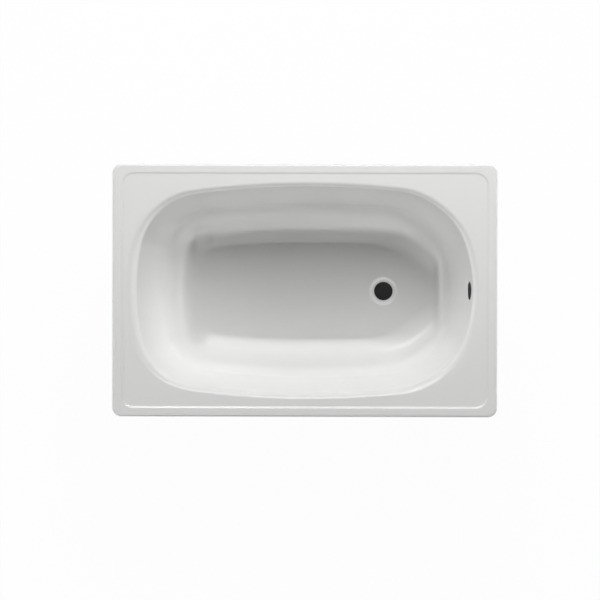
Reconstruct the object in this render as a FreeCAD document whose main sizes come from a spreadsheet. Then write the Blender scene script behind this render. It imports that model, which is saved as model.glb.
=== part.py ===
import FreeCAD, Part
import math
import os
import re

import Sketcher

# Short pressed steel bath with a stepped flat rim, a sloping backrest at its head end (-X) and a steep
# drain end (+X), on two bolted leg bars with four adjustable feet.
# The origin is on the floor under the middle of the rim, X runs along the bath and Z up.

# Driving sizes in millimetres. A name that ends in angle is in degrees, and one that ends in share is
# a plain number.
SIZES = {
    # Overall
    "bath_length": 1050,
    "bath_width": 690,
    "rim_height": 560,
    "steel_sheet": 1.8,
    "cut_overrun": 2,
    # Rim: raised border, step down to the deck, rolled outer edge and skirt
    "plan_corner_radius": 26,
    "edge_roll_radius": 7,
    "skirt_depth": 30,
    "border_width": 26,
    "step_depth": 3,
    "step_corner_radius": 34,
    "deck_side_width": 22,
    "deck_head_width": 12,
    "deck_drain_width": 21,
    # Bowl: where the floor's flat part ends, how deep it lies and how far it falls to the drain
    "bowl_depth": 374,
    "floor_half_width": 134,
    "floor_head_reach": 288,
    "floor_drain_reach": 348,
    "floor_fall": 3,
    # Bowl: roll at the mouth and cove at the floor, seen in a section square to the wall
    "roll_start_angle": 10,
    "roll_end_angle": 64,
    "cove_start_angle": 72,
    "floor_crease_angle": 9,
    "side_roll_radius": 17,
    "side_cove_radius": 130,
    "head_roll_radius": 36,
    "head_cove_radius": 140,
    "drain_roll_radius": 25,
    "drain_cove_radius": 62,
    # Bowl corners in plan at the mouth, then at the floor
    "head_mouth_side_angle": 8,
    "head_mouth_end_angle": 78,
    "head_mouth_end_radius": 600,
    "head_floor_side_angle": 6,
    "head_floor_end_angle": 84,
    "head_floor_end_radius": 800,
    "drain_mouth_side_angle": 6,
    "drain_mouth_shoulder_angle": 28,
    "drain_mouth_taper_angle": 45,
    "drain_mouth_end_angle": 70,
    "drain_mouth_shoulder_radius": 210,
    "drain_mouth_nose_radius": 210,
    "drain_mouth_end_radius": 400,
    "drain_floor_side_angle": 1,
    "drain_floor_shoulder_angle": 38,
    "drain_floor_taper_angle": 39.5,
    "drain_floor_end_angle": 86.5,
    "drain_floor_shoulder_radius": 168,
    "drain_floor_nose_radius": 16,
    "drain_floor_end_radius": 400,
    # Drain seat and overflow
    "drain_setback": 132,
    "drain_hole_radius": 26,
    "drain_seat_radius": 31,
    "drain_dish_radius": 37.5,
    "drain_dish_depth": 5,
    "overflow_hole_radius": 26,
    "overflow_drop": 65,
    # Damping mats bonded under the pressing
    "mat_sheet": 3,
    "bond_gap": 0.3,
    "mat_corner_radius": 18,
    "floor_mat_half_width": 105,
    "floor_mat_clearance": 18,
    "head_mat_half_width": 120,
    "head_mat_top_drop": 120,
    "side_mat_half_length": 190,
    "side_mat_top_drop": 110,
    "mat_bottom_rise": 75,
    # Leg bars: pressed channels, open downwards
    "bar_width": 40,
    "bar_depth": 25,
    "bar_sheet": 2.5,
    "bar_bend_radius": 5,
    "bar_end_margin": 24,
    "bar_corner_radius": 6,
    "head_bar_inset": 98,
    "drain_bar_gap": 90,
    # Welded mounting lugs and the bolts that hold the bars to them
    "lug_drop": 16,
    "lug_sheet": 2,
    "lug_crown_half": 17,
    "lug_flange": 14,
    "lug_width": 34,
    "lug_edge_margin": 23,
    "bolt_radius": 4,
    "bolt_head_flats": 13,
    "bolt_head_height": 5.3,
    "bolt_spare": 2.5,
    "bolt_washer_radius": 8,
    "bolt_washer_sheet": 1.6,
    "bolt_nut_flats": 13,
    "bolt_nut_height": 6.5,
    "thread_clearance": 0.05,
    "hole_clearance": 0.5,
    # Rubber pad between each bar and the floor
    "pad_half_length": 17,
    "pad_width": 70,
    "pad_corner_radius": 3,
    # Feet: threaded stud, two nuts and washers, plastic cap and rubber sole
    "foot_side_inset": 105,
    "foot_travel": 21,
    "stud_radius": 6,
    "stud_spare": 4,
    "stud_chamfer": 1,
    "stud_nut_flats": 18,
    "stud_nut_height": 10,
    "bevel_angle": 30,
    "bevel_face_share": 0.95,
    "stud_washer_radius": 12,
    "stud_washer_sheet": 2.5,
    "sole_radius": 23,
    "sole_sheet": 3,
    "sole_chamfer": 0.8,
    "cap_base_radius": 25,
    "cap_rim_height": 5,
    "cap_shoulder_radius": 13,
    "cap_shoulder_height": 9,
    "cap_neck_radius": 10.5,
    "cap_neck_height": 22,
    "cap_socket_floor": 5,
    "cap_edge_radius": 1.5,
    # Earthing tab welded under the deck at the drain end, with its screw
    "tab_width": 20,
    "tab_sheet": 2,
    "tab_lap": 16,
    "tab_hang": 34,
    "tab_edge_gap": 2,
    "tab_offset": 120,
    "tab_corner_radius": 5,
    "tab_screw_radius": 3,
    "tab_screw_rise": 9,
    "tab_screw_spare": 2,
    "tab_head_flats": 10,
    "tab_head_height": 4,
    "tab_nut_height": 5,
    "tab_washer_radius": 6,
    "tab_washer_sheet": 1.6,
}

# Places that several pieces share, written in the sizes above
DECK = "(rim_height - step_depth)"
FALL = "(floor_fall / (floor_drain_reach - drain_setback))"
DRAIN_X = "(floor_drain_reach - drain_setback)"
HEAD_BAR_X = "(head_bar_inset - floor_head_reach)"
DRAIN_BAR_X = "(floor_drain_reach - drain_setback - drain_bar_gap)"
UNDER_AT_ZERO = "(rim_height - step_depth - bowl_depth - steel_sheet)"
BAR_TOP = f"({UNDER_AT_ZERO} - {DRAIN_BAR_X} * {FALL} - lug_drop)"
WEB_UNDER = f"({BAR_TOP} - bar_sheet)"
SEAT_TOP = f"({DECK} - bowl_depth - floor_fall - drain_dish_depth)"
UNDER_DECK = "(rim_height - step_depth - steel_sheet)"
LUG_Y = "(floor_half_width - lug_edge_margin - lug_width / 2)"
FOOT_Y = "(bath_width / 2 - foot_side_inset)"
STUD_FOOT = "(sole_sheet + cap_socket_floor)"
STUD_TOP = f"({BAR_TOP} + stud_washer_sheet + stud_nut_height + foot_travel + stud_spare)"
TAB_X = "(bath_length / 2 - border_width - tab_edge_gap)"
TAB_SCREW_Z = f"({UNDER_DECK} - tab_hang + tab_screw_rise)"
HEX_SIDES = 6
SIDES = {"left": 1, "right": -1}
ENDS = {"head": HEAD_BAR_X, "drain": DRAIN_BAR_X}

# An edge runs along an axis when more than this share of its direction does, and two places are
# one when they are closer than this
ALONG_SHARE = 0.9
SAME_PLACE = 0.001

doc = FreeCAD.newDocument("steel_bath")
sizes = doc.addObject("Spreadsheet::Sheet", "sizes")
for row, (alias, amount) in enumerate(SIZES.items(), start=1):
    sizes.set(f"A{row}", alias.replace("_", " "))
    sizes.set(f"B{row}", str(amount))
    sizes.setAlias(f"B{row}", alias)
doc.recompute()

nodes = []


def value(alias):
    """Number held by the sheet under an alias."""
    return float(sizes.get(alias))


def sized(text):
    """Expression text with each alias pointed at the sheet."""
    def point(word):
        return "sizes." + word[0] if word[0] in SIZES else word[0]
    return re.sub(r"[a-z][a-z_]*", point, str(text))


def bind(item, **properties):
    """Bind properties of a feature to expressions on the sheet."""
    for name, text in properties.items():
        item.setExpression(name, sized(text))
    return item


def place(item, x="0", y="0", z="0"):
    """Bind the place of a feature."""
    item.setExpression("Placement.Base.x", sized(x))
    item.setExpression("Placement.Base.y", sized(y))
    item.setExpression("Placement.Base.z", sized(z))
    return item


def node(item, label):
    """Name a finished sub-part; the label is its file's name."""
    item.Label = label
    nodes.append(item)
    return item


def new_body(name):
    """Body with its base planes."""
    return doc.addObject("PartDesign::Body", name)


def base_plane(body, role):
    """One of a body's own base planes."""
    return next(item for item in body.Origin.OriginFeatures if item.Role == role)


def new_sketch(body, name, role, lift="0"):
    """Sketch on a base plane, lifted along the plane's normal."""
    sketch = body.newObject("Sketcher::SketchObject", name)
    sketch.AttachmentSupport = [(base_plane(body, role), "")]
    sketch.MapMode = "FlatFace"
    sketch.setExpression("AttachmentOffset.Base.z", sized(lift))
    return sketch


def outline(sketch, points):
    """Closed outline of straight lines through points given as pairs of expressions."""
    count = len(points)
    start = [FreeCAD.Vector(math.cos(math.tau * k / count), math.sin(math.tau * k / count), 0)
             for k in range(count)]
    for k in range(count):
        sketch.addGeometry(Part.LineSegment(start[k], start[(k + 1) % count]), False)
    for k in range(count):
        sketch.addConstraint(Sketcher.Constraint("Coincident", k, 2, (k + 1) % count, 1))
    for k, (across, up) in enumerate(points):
        for kind, text, first in (("DistanceX", across, start[k].x), ("DistanceY", up, start[k].y)):
            index = sketch.addConstraint(Sketcher.Constraint(kind, -1, 1, k, 1, first))
            sketch.renameConstraint(index, f"{kind}_{k}")
            sketch.setExpression(f"Constraints.{kind}_{k}", sized(text))


def circle(sketch, radius, across="0", up="0"):
    """Circle in a sketch, its radius and centre bound."""
    unit = Part.Circle(FreeCAD.Vector(1, 1, 0), FreeCAD.Vector(0, 0, 1), 1)
    index = sketch.addGeometry(unit, False)
    for kind, pair, text in (("Radius", (index,), radius), ("DistanceX", (-1, 1, index, 3), across),
                             ("DistanceY", (-1, 1, index, 3), up)):
        number = sketch.addConstraint(Sketcher.Constraint(kind, *pair, 1))
        sketch.renameConstraint(number, f"{kind}_{index}")
        sketch.setExpression(f"Constraints.{kind}_{index}", sized(text))


def rectangle(sketch, low_x, high_x, low_y, high_y):
    """Rectangle in a sketch between bound edges."""
    outline(sketch, [(low_x, low_y), (high_x, low_y), (high_x, high_y), (low_x, high_y)])


def pad(body, sketch, length, both_ways=False):
    """Pad a sketch, along its normal or evenly to both sides."""
    feature = body.newObject("PartDesign::Pad", sketch.Name + "_pad")
    feature.Profile = sketch
    feature.SideType = "Symmetric" if both_ways else "One side"
    bind(feature, Length=length)
    sketch.Visibility = False
    doc.recompute()
    return feature


def pocket(body, sketch, depth, upwards=False):
    """Pocket a sketch and make sure that it took material away."""
    before = body.Shape.Volume
    feature = body.newObject("PartDesign::Pocket", sketch.Name + "_pocket")
    feature.Profile = sketch
    feature.Reversed = upwards
    bind(feature, Length=depth)
    doc.recompute()
    if not feature.Shape.Volume < before:
        raise RuntimeError(f"{feature.Name} cuts nothing")
    return feature


def edge_names(shape, test):
    """Names of the edges that a test picks."""
    return [f"Edge{k}" for k, edge in enumerate(shape.Edges, start=1) if test(edge)]


def fillet(body, test, radius):
    """Round the edges of a body that a test picks."""
    base = body.Tip
    feature = body.newObject("PartDesign::Fillet", f"{body.Name}_round_{len(body.Group)}")
    feature.Base = (base, edge_names(base.Shape, test))
    bind(feature, Radius=radius)
    doc.recompute()
    return feature


def runs_along(edge, axis):
    """Whether an edge is a straight line along a named axis."""
    straight = edge.Curve.TypeId == "Part::GeomLine"
    return straight and abs(getattr(edge.Curve.Direction, axis)) > ALONG_SHARE


def is_upright(edge):
    """Whether an edge is a straight line along Z."""
    return runs_along(edge, "z")


def is_at(edge, height):
    """Whether both ends of an edge lie at a height."""
    return all(abs(corner.Z - height) < SAME_PLACE for corner in edge.Vertexes)


def under(x):
    """Height of the floor's underside at a place along the bath."""
    return f"({UNDER_AT_ZERO} - {x} * {FALL})"


def cylinder(name, radius, height, x="0", y="0", z="0", along_x=False):
    """Cylinder standing on its base, or lying along X."""
    item = bind(doc.addObject("Part::Cylinder", name), Radius=radius, Height=height)
    if along_x:
        item.Placement.Rotation = FreeCAD.Rotation(FreeCAD.Vector(0, 1, 0), 90)
    return place(item, x, y, z)


def hexagon(name, flats, height, at, bevelled=("low", "high"), along_x=False):
    """Six-sided block of a given size across its flats, its named end faces bevelled at the corners."""
    block = bind(doc.addObject("Part::Prism", name + "_block"),
                 Circumradius=f"{flats} / 2 / cos(180 deg / {HEX_SIDES})", Height=height)
    block.Polygon = HEX_SIDES
    shapes = [block]
    face = f"{flats} * bevel_face_share / 2"
    wide = f"{face} + ({height}) / tan(bevel_angle * 1 deg)"
    for end in bevelled:
        cone = doc.addObject("Part::Cone", f"{name}_{end}_bevel")
        low, high = (face, wide) if end == "low" else (wide, face)
        shapes.append(bind(cone, Radius1=low, Radius2=high, Height=height))
    for shape in shapes:
        if along_x:
            shape.Placement.Rotation = FreeCAD.Rotation(FreeCAD.Vector(0, 1, 0), 90)
        place(shape, *at)
    item = doc.addObject("Part::MultiCommon", name)
    item.Shapes = shapes
    return item


def ring(name, radius, bore, height, at, along_x=False):
    """Flat washer."""
    disc = cylinder(name + "_disc", radius, height, *at, along_x=along_x)
    return cut(name, disc, cylinder(name + "_bore", bore, height, *at, along_x=along_x))


def nut(name, flats, bore, height, at, along_x=False):
    """Hexagon nut with both faces bevelled."""
    block = hexagon(name + "_hexagon", flats, height, at, along_x=along_x)
    return cut(name, block, cylinder(name + "_bore", bore, height, *at, along_x=along_x))


def turned(name, profile, x="0", y="0"):
    """Body turned about an upright axis from a profile of radius and height."""
    body = new_body(name)
    half = new_sketch(body, name + "_half", "XZ_Plane")
    outline(half, profile)
    feature = body.newObject("PartDesign::Revolution", name + "_turn")
    feature.Profile = half
    feature.ReferenceAxis = (half, ["V_Axis"])
    feature.Angle = 360
    half.Visibility = False
    place(body, x, y)
    doc.recompute()
    return body


def cut(name, base, tool):
    """Base less tool."""
    item = doc.addObject("Part::Cut", name)
    item.Base = base
    item.Tool = tool
    return item


def common(name, base, tool):
    """What base and tool share."""
    item = doc.addObject("Part::Common", name)
    item.Base = base
    item.Tool = tool
    return item


def fuse(name, *parts):
    """Parts joined into one solid."""
    item = doc.addObject("Part::MultiFuse", name)
    item.Shapes = list(parts)
    item.Refine = True
    return item


def group(name, parts):
    """Separate solids kept in one sub-part."""
    item = doc.addObject("Part::Compound", name)
    item.Links = list(parts)
    return item


# Rim


def rim_form(name, inward):
    """Rim and skirt as a filled block, its surface moved inwards by a distance."""
    half_x = f"(bath_length / 2 - {inward})"
    half_y = f"(bath_width / 2 - {inward})"
    top = f"(rim_height - {inward})"
    body = new_body(name)
    plan = new_sketch(body, name + "_plan", "XY_Plane", "rim_height - skirt_depth")
    rectangle(plan, f"-{half_x}", half_x, f"-{half_y}", half_y)
    pad(body, plan, f"skirt_depth - {inward}")
    fillet(body, is_upright, f"plan_corner_radius - {inward}")
    top_level = body.Shape.BoundBox.ZMax
    fillet(body, lambda edge: is_at(edge, top_level), f"edge_roll_radius - {inward}")
    step_x = f"(bath_length / 2 - border_width + {inward})"
    step_y = f"(bath_width / 2 - border_width + {inward})"
    step = new_sketch(body, name + "_step", "XY_Plane", top)
    rectangle(step, f"-{step_x}", step_x, f"-{step_y}", step_y)
    pocket(body, step, "step_depth")

    def in_step(edge):
        return is_upright(edge) and edge.BoundBox.ZMin > top_level - 2 * value("step_depth")

    fillet(body, in_step, f"step_corner_radius + {inward}")
    return body


# Bowl


def cove_middle(run, cove):
    """Middle of the cove's arc, which leaves the floor at the crease's angle: inset and depth."""
    crease = math.radians(value("floor_crease_angle"))
    return run + cove * math.sin(crease), value("bowl_depth") - cove * math.cos(crease)


def lean_angle(run, roll, cove):
    """Angle from upright of the straight wall between the mouth's roll and the floor's cove."""
    start = math.radians(value("roll_start_angle"))
    cove_x, cove_z = cove_middle(run, cove)
    across = cove_x + roll * math.sin(start)
    down = cove_z - roll * math.cos(start)
    return math.acos((roll + cove) / math.hypot(across, down)) - math.atan2(down, across)


def wall_inset(depth, run, roll, cove, offset):
    """How far the wall lies inside the mouth line at a depth, its surface moved outwards by offset."""
    start = math.radians(value("roll_start_angle"))
    lean = lean_angle(run, roll, cove)
    outer = roll - offset
    inner = cove + offset
    roll_x = -roll * math.sin(start)
    roll_z = roll * math.cos(start)
    cove_x, cove_z = cove_middle(run, cove)
    first = roll_z - outer * math.cos(start)
    roll_foot = roll_z - outer * math.sin(lean)
    if depth <= first:
        return roll_x + outer * math.sin(start) - (first - depth) / math.tan(start)
    if depth <= roll_foot:
        return roll_x + outer * math.sin(math.acos((roll_z - depth) / outer))
    if depth < cove_z + inner * math.sin(lean):
        return roll_x + outer * math.cos(lean) + (depth - roll_foot) * math.tan(lean)
    return cove_x - inner * math.sin(math.acos(min(1, (depth - cove_z) / inner)))


def solved_radii(half, reach, turns, radii, free):
    """Radii of a chain of tangent arcs from (0, half) to (reach, 0), with two of them worked out."""
    across = [math.sin(after) - math.sin(before) for before, after in zip(turns, turns[1:])]
    down = [math.cos(before) - math.cos(after) for before, after in zip(turns, turns[1:])]
    known = [k for k in range(len(radii)) if k not in free]
    rest_x = reach - sum(across[k] * radii[k] for k in known)
    rest_y = half - sum(down[k] * radii[k] for k in known)
    one, two = free
    scale = across[one] * down[two] - across[two] * down[one]
    solved = list(radii)
    solved[one] = (rest_x * down[two] - rest_y * across[two]) / scale
    solved[two] = (rest_y * across[one] - rest_x * down[one]) / scale
    return solved


def quarter_points(half, turns, radii):
    """Ends and middles of the arcs of a quarter of the bowl's plan, from the side to the end."""
    x = 0.0
    y = half
    points = [(x, y)]
    for before, after, radius in zip(turns, turns[1:], radii):
        for angle in ((before + after) / 2, after):
            points.append((x + radius * (math.sin(angle) - math.sin(before)),
                           y - radius * (math.cos(before) - math.cos(angle))))
        x, y = points[-1]
    return points


def blend(name, share, *parts):
    """Values between those at the mouth and those at the floor, for the named parts of a plan."""
    found = []
    for part in parts:
        at_mouth = value(name.format("mouth") + part)
        at_floor = value(name.format("floor") + part)
        found.append(at_mouth + (at_floor - at_mouth) * share)
    return found


def drain_quarter(half, reach, share, offset):
    """Quarter plan at the drain end: side, shoulder, taper, nose corner and end."""
    angles = blend("drain_{}_", share, "side_angle", "shoulder_angle", "taper_angle", "end_angle")
    shoulder, nose, end = blend("drain_{}_", share, "shoulder_radius", "nose_radius", "end_radius")
    turns = [0.0] + [math.radians(angle) for angle in angles] + [math.pi / 2]
    radii = [0, shoulder + offset, 0, nose + offset, end + offset]
    return quarter_points(half, turns, solved_radii(half, reach, turns, radii, (0, 2)))


def head_quarter(half, reach, share, offset):
    """Quarter plan at the head end: side, corner and end."""
    angles = blend("head_{}_", share, "side_angle", "end_angle")
    end, = blend("head_{}_", share, "end_radius")
    turns = [0.0] + [math.radians(angle) for angle in angles] + [math.pi / 2]
    radii = [0, 0, end + offset]
    return quarter_points(half, turns, solved_radii(half, reach, turns, radii, (0, 1)))


def bowl_section(depth, offset):
    """Closed plan of the bowl at a depth, on a plane that tilts with the floor as it nears it.

    The plan's turns and radii go from those of the mouth to those of the floor as the side wall goes inwards.
    """
    side_mouth = value("bath_width") / 2 - value("border_width") - value("deck_side_width")
    head_mouth = value("bath_length") / 2 - value("border_width") - value("deck_head_width")
    drain_mouth = value("bath_length") / 2 - value("border_width") - value("deck_drain_width")
    walls = {}
    for end, mouth, floor in (("side", side_mouth, value("floor_half_width")),
                              ("head", head_mouth, value("floor_head_reach")),
                              ("drain", drain_mouth, value("floor_drain_reach"))):
        roll = value(end + "_roll_radius")
        cove = value(end + "_cove_radius")
        walls[end] = mouth - wall_inset(depth, mouth - floor, roll, cove, offset)
    onward = (side_mouth - walls["side"] + offset) / (side_mouth - value("floor_half_width"))
    share = min(1, max(0, onward))
    drain = drain_quarter(walls["side"], walls["drain"], share, offset)
    head = head_quarter(walls["side"], walls["head"], share, offset)
    ring = list(drain)
    ring += [(x, -y) for x, y in reversed(drain)][1:]
    ring += [(-x, -y) for x, y in head][1:]
    ring += [(-x, y) for x, y in reversed(head)][1:]
    fall = value("floor_fall") / (value("floor_drain_reach") - value("drain_setback"))
    slope = fall * min(1, max(0, depth / value("bowl_depth")))
    level = value("rim_height") - value("step_depth") - depth
    places = [FreeCAD.Vector(x, y, level - slope * x) for x, y in ring]
    places[-1] = places[0]
    arcs = [Part.Arc(*places[k:k + 3]).toShape() for k in range(0, len(places) - 1, 2)]
    return Part.Wire(arcs)


def section_depths(offset):
    """Depths of the bowl's sections: close together in the roll and the cove, wider on the wall."""
    roll = max(value(end + "_roll_radius") for end in ("side", "head", "drain"))
    cove = max(value(end + "_cove_radius") for end in ("side", "head", "drain"))
    start = value("roll_start_angle")
    roll_z = roll * math.cos(math.radians(start))
    roll_steps = 6
    wall_steps = 4
    cove_steps = 8
    cove_z = cove_middle(0, cove)[1]
    cove_start = math.radians(value("cove_start_angle"))
    cove_end = math.acos((value("bowl_depth") - cove_z + offset) / (cove + offset))
    depths = []
    for k in range(roll_steps + 1):
        angle = math.radians(start + (value("roll_end_angle") - start) * k / roll_steps)
        depths.append(roll_z - (roll - offset) * math.cos(angle))
    in_cove = []
    for k in range(cove_steps + 1):
        angle = cove_start + (cove_end - cove_start) * k / cove_steps
        in_cove.append(cove_z + (cove + offset) * math.cos(angle))
    for k in range(1, wall_steps):
        depths.append(depths[roll_steps] + (in_cove[0] - depths[roll_steps]) * k / wall_steps)
    return depths + in_cove


def bowl_form(name, offset, head_room):
    """Bowl as a filled form, its surface moved outwards by offset and its top raised by head room."""
    depths = section_depths(offset)
    sections = []
    for k, depth in enumerate([depths[0] - head_room] + depths):
        section = doc.addObject("Part::Feature", f"{name}_section_{k}")
        section.Shape = bowl_section(depth, offset)
        section.Visibility = False
        sections.append(section)
    form = doc.addObject("Part::Loft", name)
    form.Sections = sections
    form.Solid = True
    return form


def drain_dish(name, outward, head_room):
    """Cone of the dished seat round the drain, its surface moved outwards and its top raised."""
    spread = "((drain_dish_radius - drain_seat_radius) / drain_dish_depth)"
    item = doc.addObject("Part::Cone", name)
    rise = f"(drain_dish_depth + {head_room})"
    bind(item, Radius1=f"drain_seat_radius + {outward}", Height=rise,
         Radius2=f"drain_seat_radius + {outward} + {rise} * {spread}")
    return place(item, DRAIN_X, "0", f"{SEAT_TOP} - {outward}")


def overflow_punch():
    """Cutter for the overflow hole, square to the leaning wall of the drain end."""
    mouth = value("bath_length") / 2 - value("border_width") - value("deck_drain_width")
    wall = (mouth - value("floor_drain_reach"), value("drain_roll_radius"), value("drain_cove_radius"))
    depth = value("overflow_drop") - value("step_depth")
    lean = lean_angle(*wall)
    outward = FreeCAD.Vector(math.cos(lean), 0, -math.sin(lean))
    height = value("rim_height") - value("overflow_drop")
    on_wall = FreeCAD.Vector(mouth - wall_inset(depth, *wall, 0), 0, height)
    item = bind(doc.addObject("Part::Cylinder", "overflow_cut"), Radius="overflow_hole_radius",
                Height="2 * overflow_hole_radius")
    item.Placement = FreeCAD.Placement(on_wall - outward * value("overflow_hole_radius"),
                                       FreeCAD.Rotation(FreeCAD.Vector(0, 0, 1), outward))
    return item


def bath_shell():
    """The pressing: rim and skirt, bowl, dished drain seat, drain hole and overflow hole."""
    rim = cut("rim_sheet", rim_form("rim_outside", "0"), rim_form("rim_inside", "steel_sheet"))
    under = bowl_form("bowl_underside", value("steel_sheet"), value("steel_sheet") / 2)
    enamel = bowl_form("bowl_inside", 0, value("cut_overrun") / 2)
    filled = fuse("filled_pressing", rim, under, drain_dish("dish_underside", "steel_sheet", "0"))
    hollow = cut("open_pressing", filled, enamel)
    seated = cut("seated_pressing", hollow, drain_dish("dish_inside", "0", "cut_overrun"))
    drain = cylinder("drain_cut", "drain_hole_radius", "drain_dish_depth + steel_sheet + 2 * cut_overrun",
                     DRAIN_X, "0", f"{SEAT_TOP} - steel_sheet - cut_overrun")
    drained = cut("drained_pressing", seated, drain)
    return node(cut("pressing", drained, overflow_punch()), "bath_shell")


# Damping mats


def floor_mat():
    """Flat mat on the floor's underside between the leg bars."""
    low = f"({HEAD_BAR_X} + lug_crown_half + lug_flange + floor_mat_clearance)"
    high = f"({DRAIN_BAR_X} - lug_crown_half - lug_flange - floor_mat_clearance)"
    body = new_body("floor_mat_body")
    side = new_sketch(body, "floor_mat_side", "XZ_Plane")
    outline(side, [(low, under(low)), (high, under(high)), (high, f"{under(high)} - mat_sheet"),
                   (low, f"{under(low)} - mat_sheet")])
    pad(body, side, "2 * floor_mat_half_width", both_ways=True)
    fillet(body, is_upright, "mat_corner_radius")
    return node(body, "floor_damping_mat")


def wall_mats():
    """Mats on the backrest and the two long sides, following the bowl's underside."""
    near = value("steel_sheet") + value("bond_gap")
    layer = cut("mat_layer", bowl_form("mat_outside", near + value("mat_sheet"), value("cut_overrun")),
                bowl_form("mat_inside", near, value("cut_overrun")))
    bottom = f"({UNDER_AT_ZERO} + mat_bottom_rise)"
    head = mat_window("head_mat_window", ("-bath_length / 2", "-floor_head_reach"),
                      ("-head_mat_half_width", "head_mat_half_width"),
                      (bottom, "rim_height - head_mat_top_drop"), lambda edge: runs_along(edge, "x"))
    node(common("head_mat", layer, head), "backrest_damping_mat")
    for side, sign in SIDES.items():
        edges = sorted((f"{sign} * floor_half_width", f"{sign} * bath_width / 2"), reverse=sign < 0)
        window = mat_window(side + "_mat_window", ("-side_mat_half_length", "side_mat_half_length"), edges,
                            (bottom, "rim_height - side_mat_top_drop"),
                            lambda edge: runs_along(edge, "y"))
        node(common(side + "_mat", layer, window), side + "_side_damping_mat")


def mat_window(name, across, along, up, rounded):
    """Block that a wall mat is cut to, with rounded corners."""
    body = new_body(name)
    plan = new_sketch(body, name + "_plan", "XY_Plane", up[0])
    rectangle(plan, across[0], across[1], along[0], along[1])
    pad(body, plan, f"{up[1]} - {up[0]}")
    fillet(body, rounded, "mat_corner_radius")
    return body


# Mounting lugs and their fasteners


def mounting_lug(end, side):
    """Hat-shaped lug: flanges welded to the sloping floor, level crown that the bar bears on."""
    middle = ENDS[end]
    inner = "lug_crown_half - lug_sheet"
    tip = "lug_crown_half + lug_flange"

    def across(sign, reach):
        return f"({middle} + {sign} * ({reach}))"

    def hung(sign, reach, drop):
        x = across(sign, reach)
        return (x, f"{under(x)} - {drop}")

    points = [hung(-1, tip, "0"), hung(-1, inner, "0"), (across(-1, inner), f"{BAR_TOP} + lug_sheet"),
              (across(1, inner), f"{BAR_TOP} + lug_sheet"), hung(1, inner, "0"), hung(1, tip, "0"),
              hung(1, tip, "lug_sheet"), hung(1, "lug_crown_half", "lug_sheet"),
              (across(1, "lug_crown_half"), BAR_TOP), (across(-1, "lug_crown_half"), BAR_TOP),
              hung(-1, "lug_crown_half", "lug_sheet"), hung(-1, tip, "lug_sheet")]
    name = f"{end}_{side}_lug"
    body = new_body(name + "_body")
    profile = new_sketch(body, name + "_profile", "XZ_Plane", f"-1 * {SIDES[side]} * {LUG_Y}")
    outline(profile, points)
    pad(body, profile, "lug_width", both_ways=True)
    hole = new_sketch(body, name + "_hole", "XY_Plane", f"{BAR_TOP} - cut_overrun")
    circle(hole, "bolt_radius + hole_clearance", middle, f"{SIDES[side]} * {LUG_Y}")
    pocket(body, hole, "lug_sheet + 2 * cut_overrun", upwards=True)
    return node(body, name)


def lug_fasteners():
    """At each lug a bolt through the bar's web and the crown into a nut welded inside the lug."""
    nuts = []
    bolts = []
    washers = []
    for end, x in ENDS.items():
        for side, sign in SIDES.items():
            tag = f"{end}_{side}"
            y = f"{sign} * {LUG_Y}"
            head_top = f"({WEB_UNDER} - bolt_washer_sheet)"
            nuts.append(nut(f"{tag}_weld_nut", "bolt_nut_flats", "bolt_radius + thread_clearance",
                            "bolt_nut_height", (x, y, f"{BAR_TOP} + lug_sheet")))
            washers.append(ring(f"{tag}_bolt_washer", "bolt_washer_radius", "bolt_radius + thread_clearance",
                                "bolt_washer_sheet", (x, y, head_top)))
            head = hexagon(f"{tag}_bolt_head", "bolt_head_flats", "bolt_head_height",
                           (x, y, f"{head_top} - bolt_head_height"), bevelled=("low",))
            grip = "bolt_washer_sheet + bar_sheet + lug_sheet + bolt_nut_height + bolt_spare"
            shank = cylinder(f"{tag}_bolt_shank", "bolt_radius", f"bolt_head_height + {grip}",
                             x, y, f"{head_top} - bolt_head_height")
            bolts.append(fuse(f"{tag}_bolt", head, shank))
    node(group("weld_nut_set", nuts), "lug_weld_nuts")
    node(group("bolt_set", bolts), "leg_bolts")
    node(group("bolt_washer_set", washers), "leg_bolt_washers")


# Leg bars and their pads


def leg_bar(end):
    """Pressed channel across the bath, open downwards, with holes for the lug bolts and the studs."""
    name = end + "_leg_bar"
    half = "(bar_width / 2)"
    inner = "(bar_width / 2 - bar_sheet)"
    edge = f"({BAR_TOP} - bar_depth)"
    body = new_body(name + "_body")
    section = new_sketch(body, name + "_section", "XZ_Plane")
    outline(section, [(f"-{half}", edge), (f"-{half}", BAR_TOP), (half, BAR_TOP), (half, edge),
                      (inner, edge), (inner, WEB_UNDER), (f"-{inner}", WEB_UNDER), (f"-{inner}", edge)])
    pad(body, section, f"2 * ({FOOT_Y} + bar_end_margin)", both_ways=True)
    box = body.Shape.BoundBox
    web_top = box.ZMax
    web_under = web_top - value("bar_sheet")

    def is_bend(edge, level):
        return runs_along(edge, "y") and is_at(edge, level)

    fillet(body, lambda edge: is_bend(edge, web_top), "bar_bend_radius")
    fillet(body, lambda edge: is_bend(edge, web_under), "bar_bend_radius - bar_sheet")
    fillet(body, lambda edge: runs_along(edge, "x") and is_at(edge, box.ZMin), "bar_corner_radius")
    holes = new_sketch(body, name + "_holes", "XY_Plane", f"{BAR_TOP} + cut_overrun")
    for sign in SIDES.values():
        circle(holes, "stud_radius + hole_clearance", "0", f"{sign} * {FOOT_Y}")
        circle(holes, "bolt_radius + hole_clearance", "0", f"{sign} * {LUG_Y}")
    pocket(body, holes, "bar_sheet + 2 * cut_overrun")
    place(body, ENDS[end])
    return node(body, name)


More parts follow.
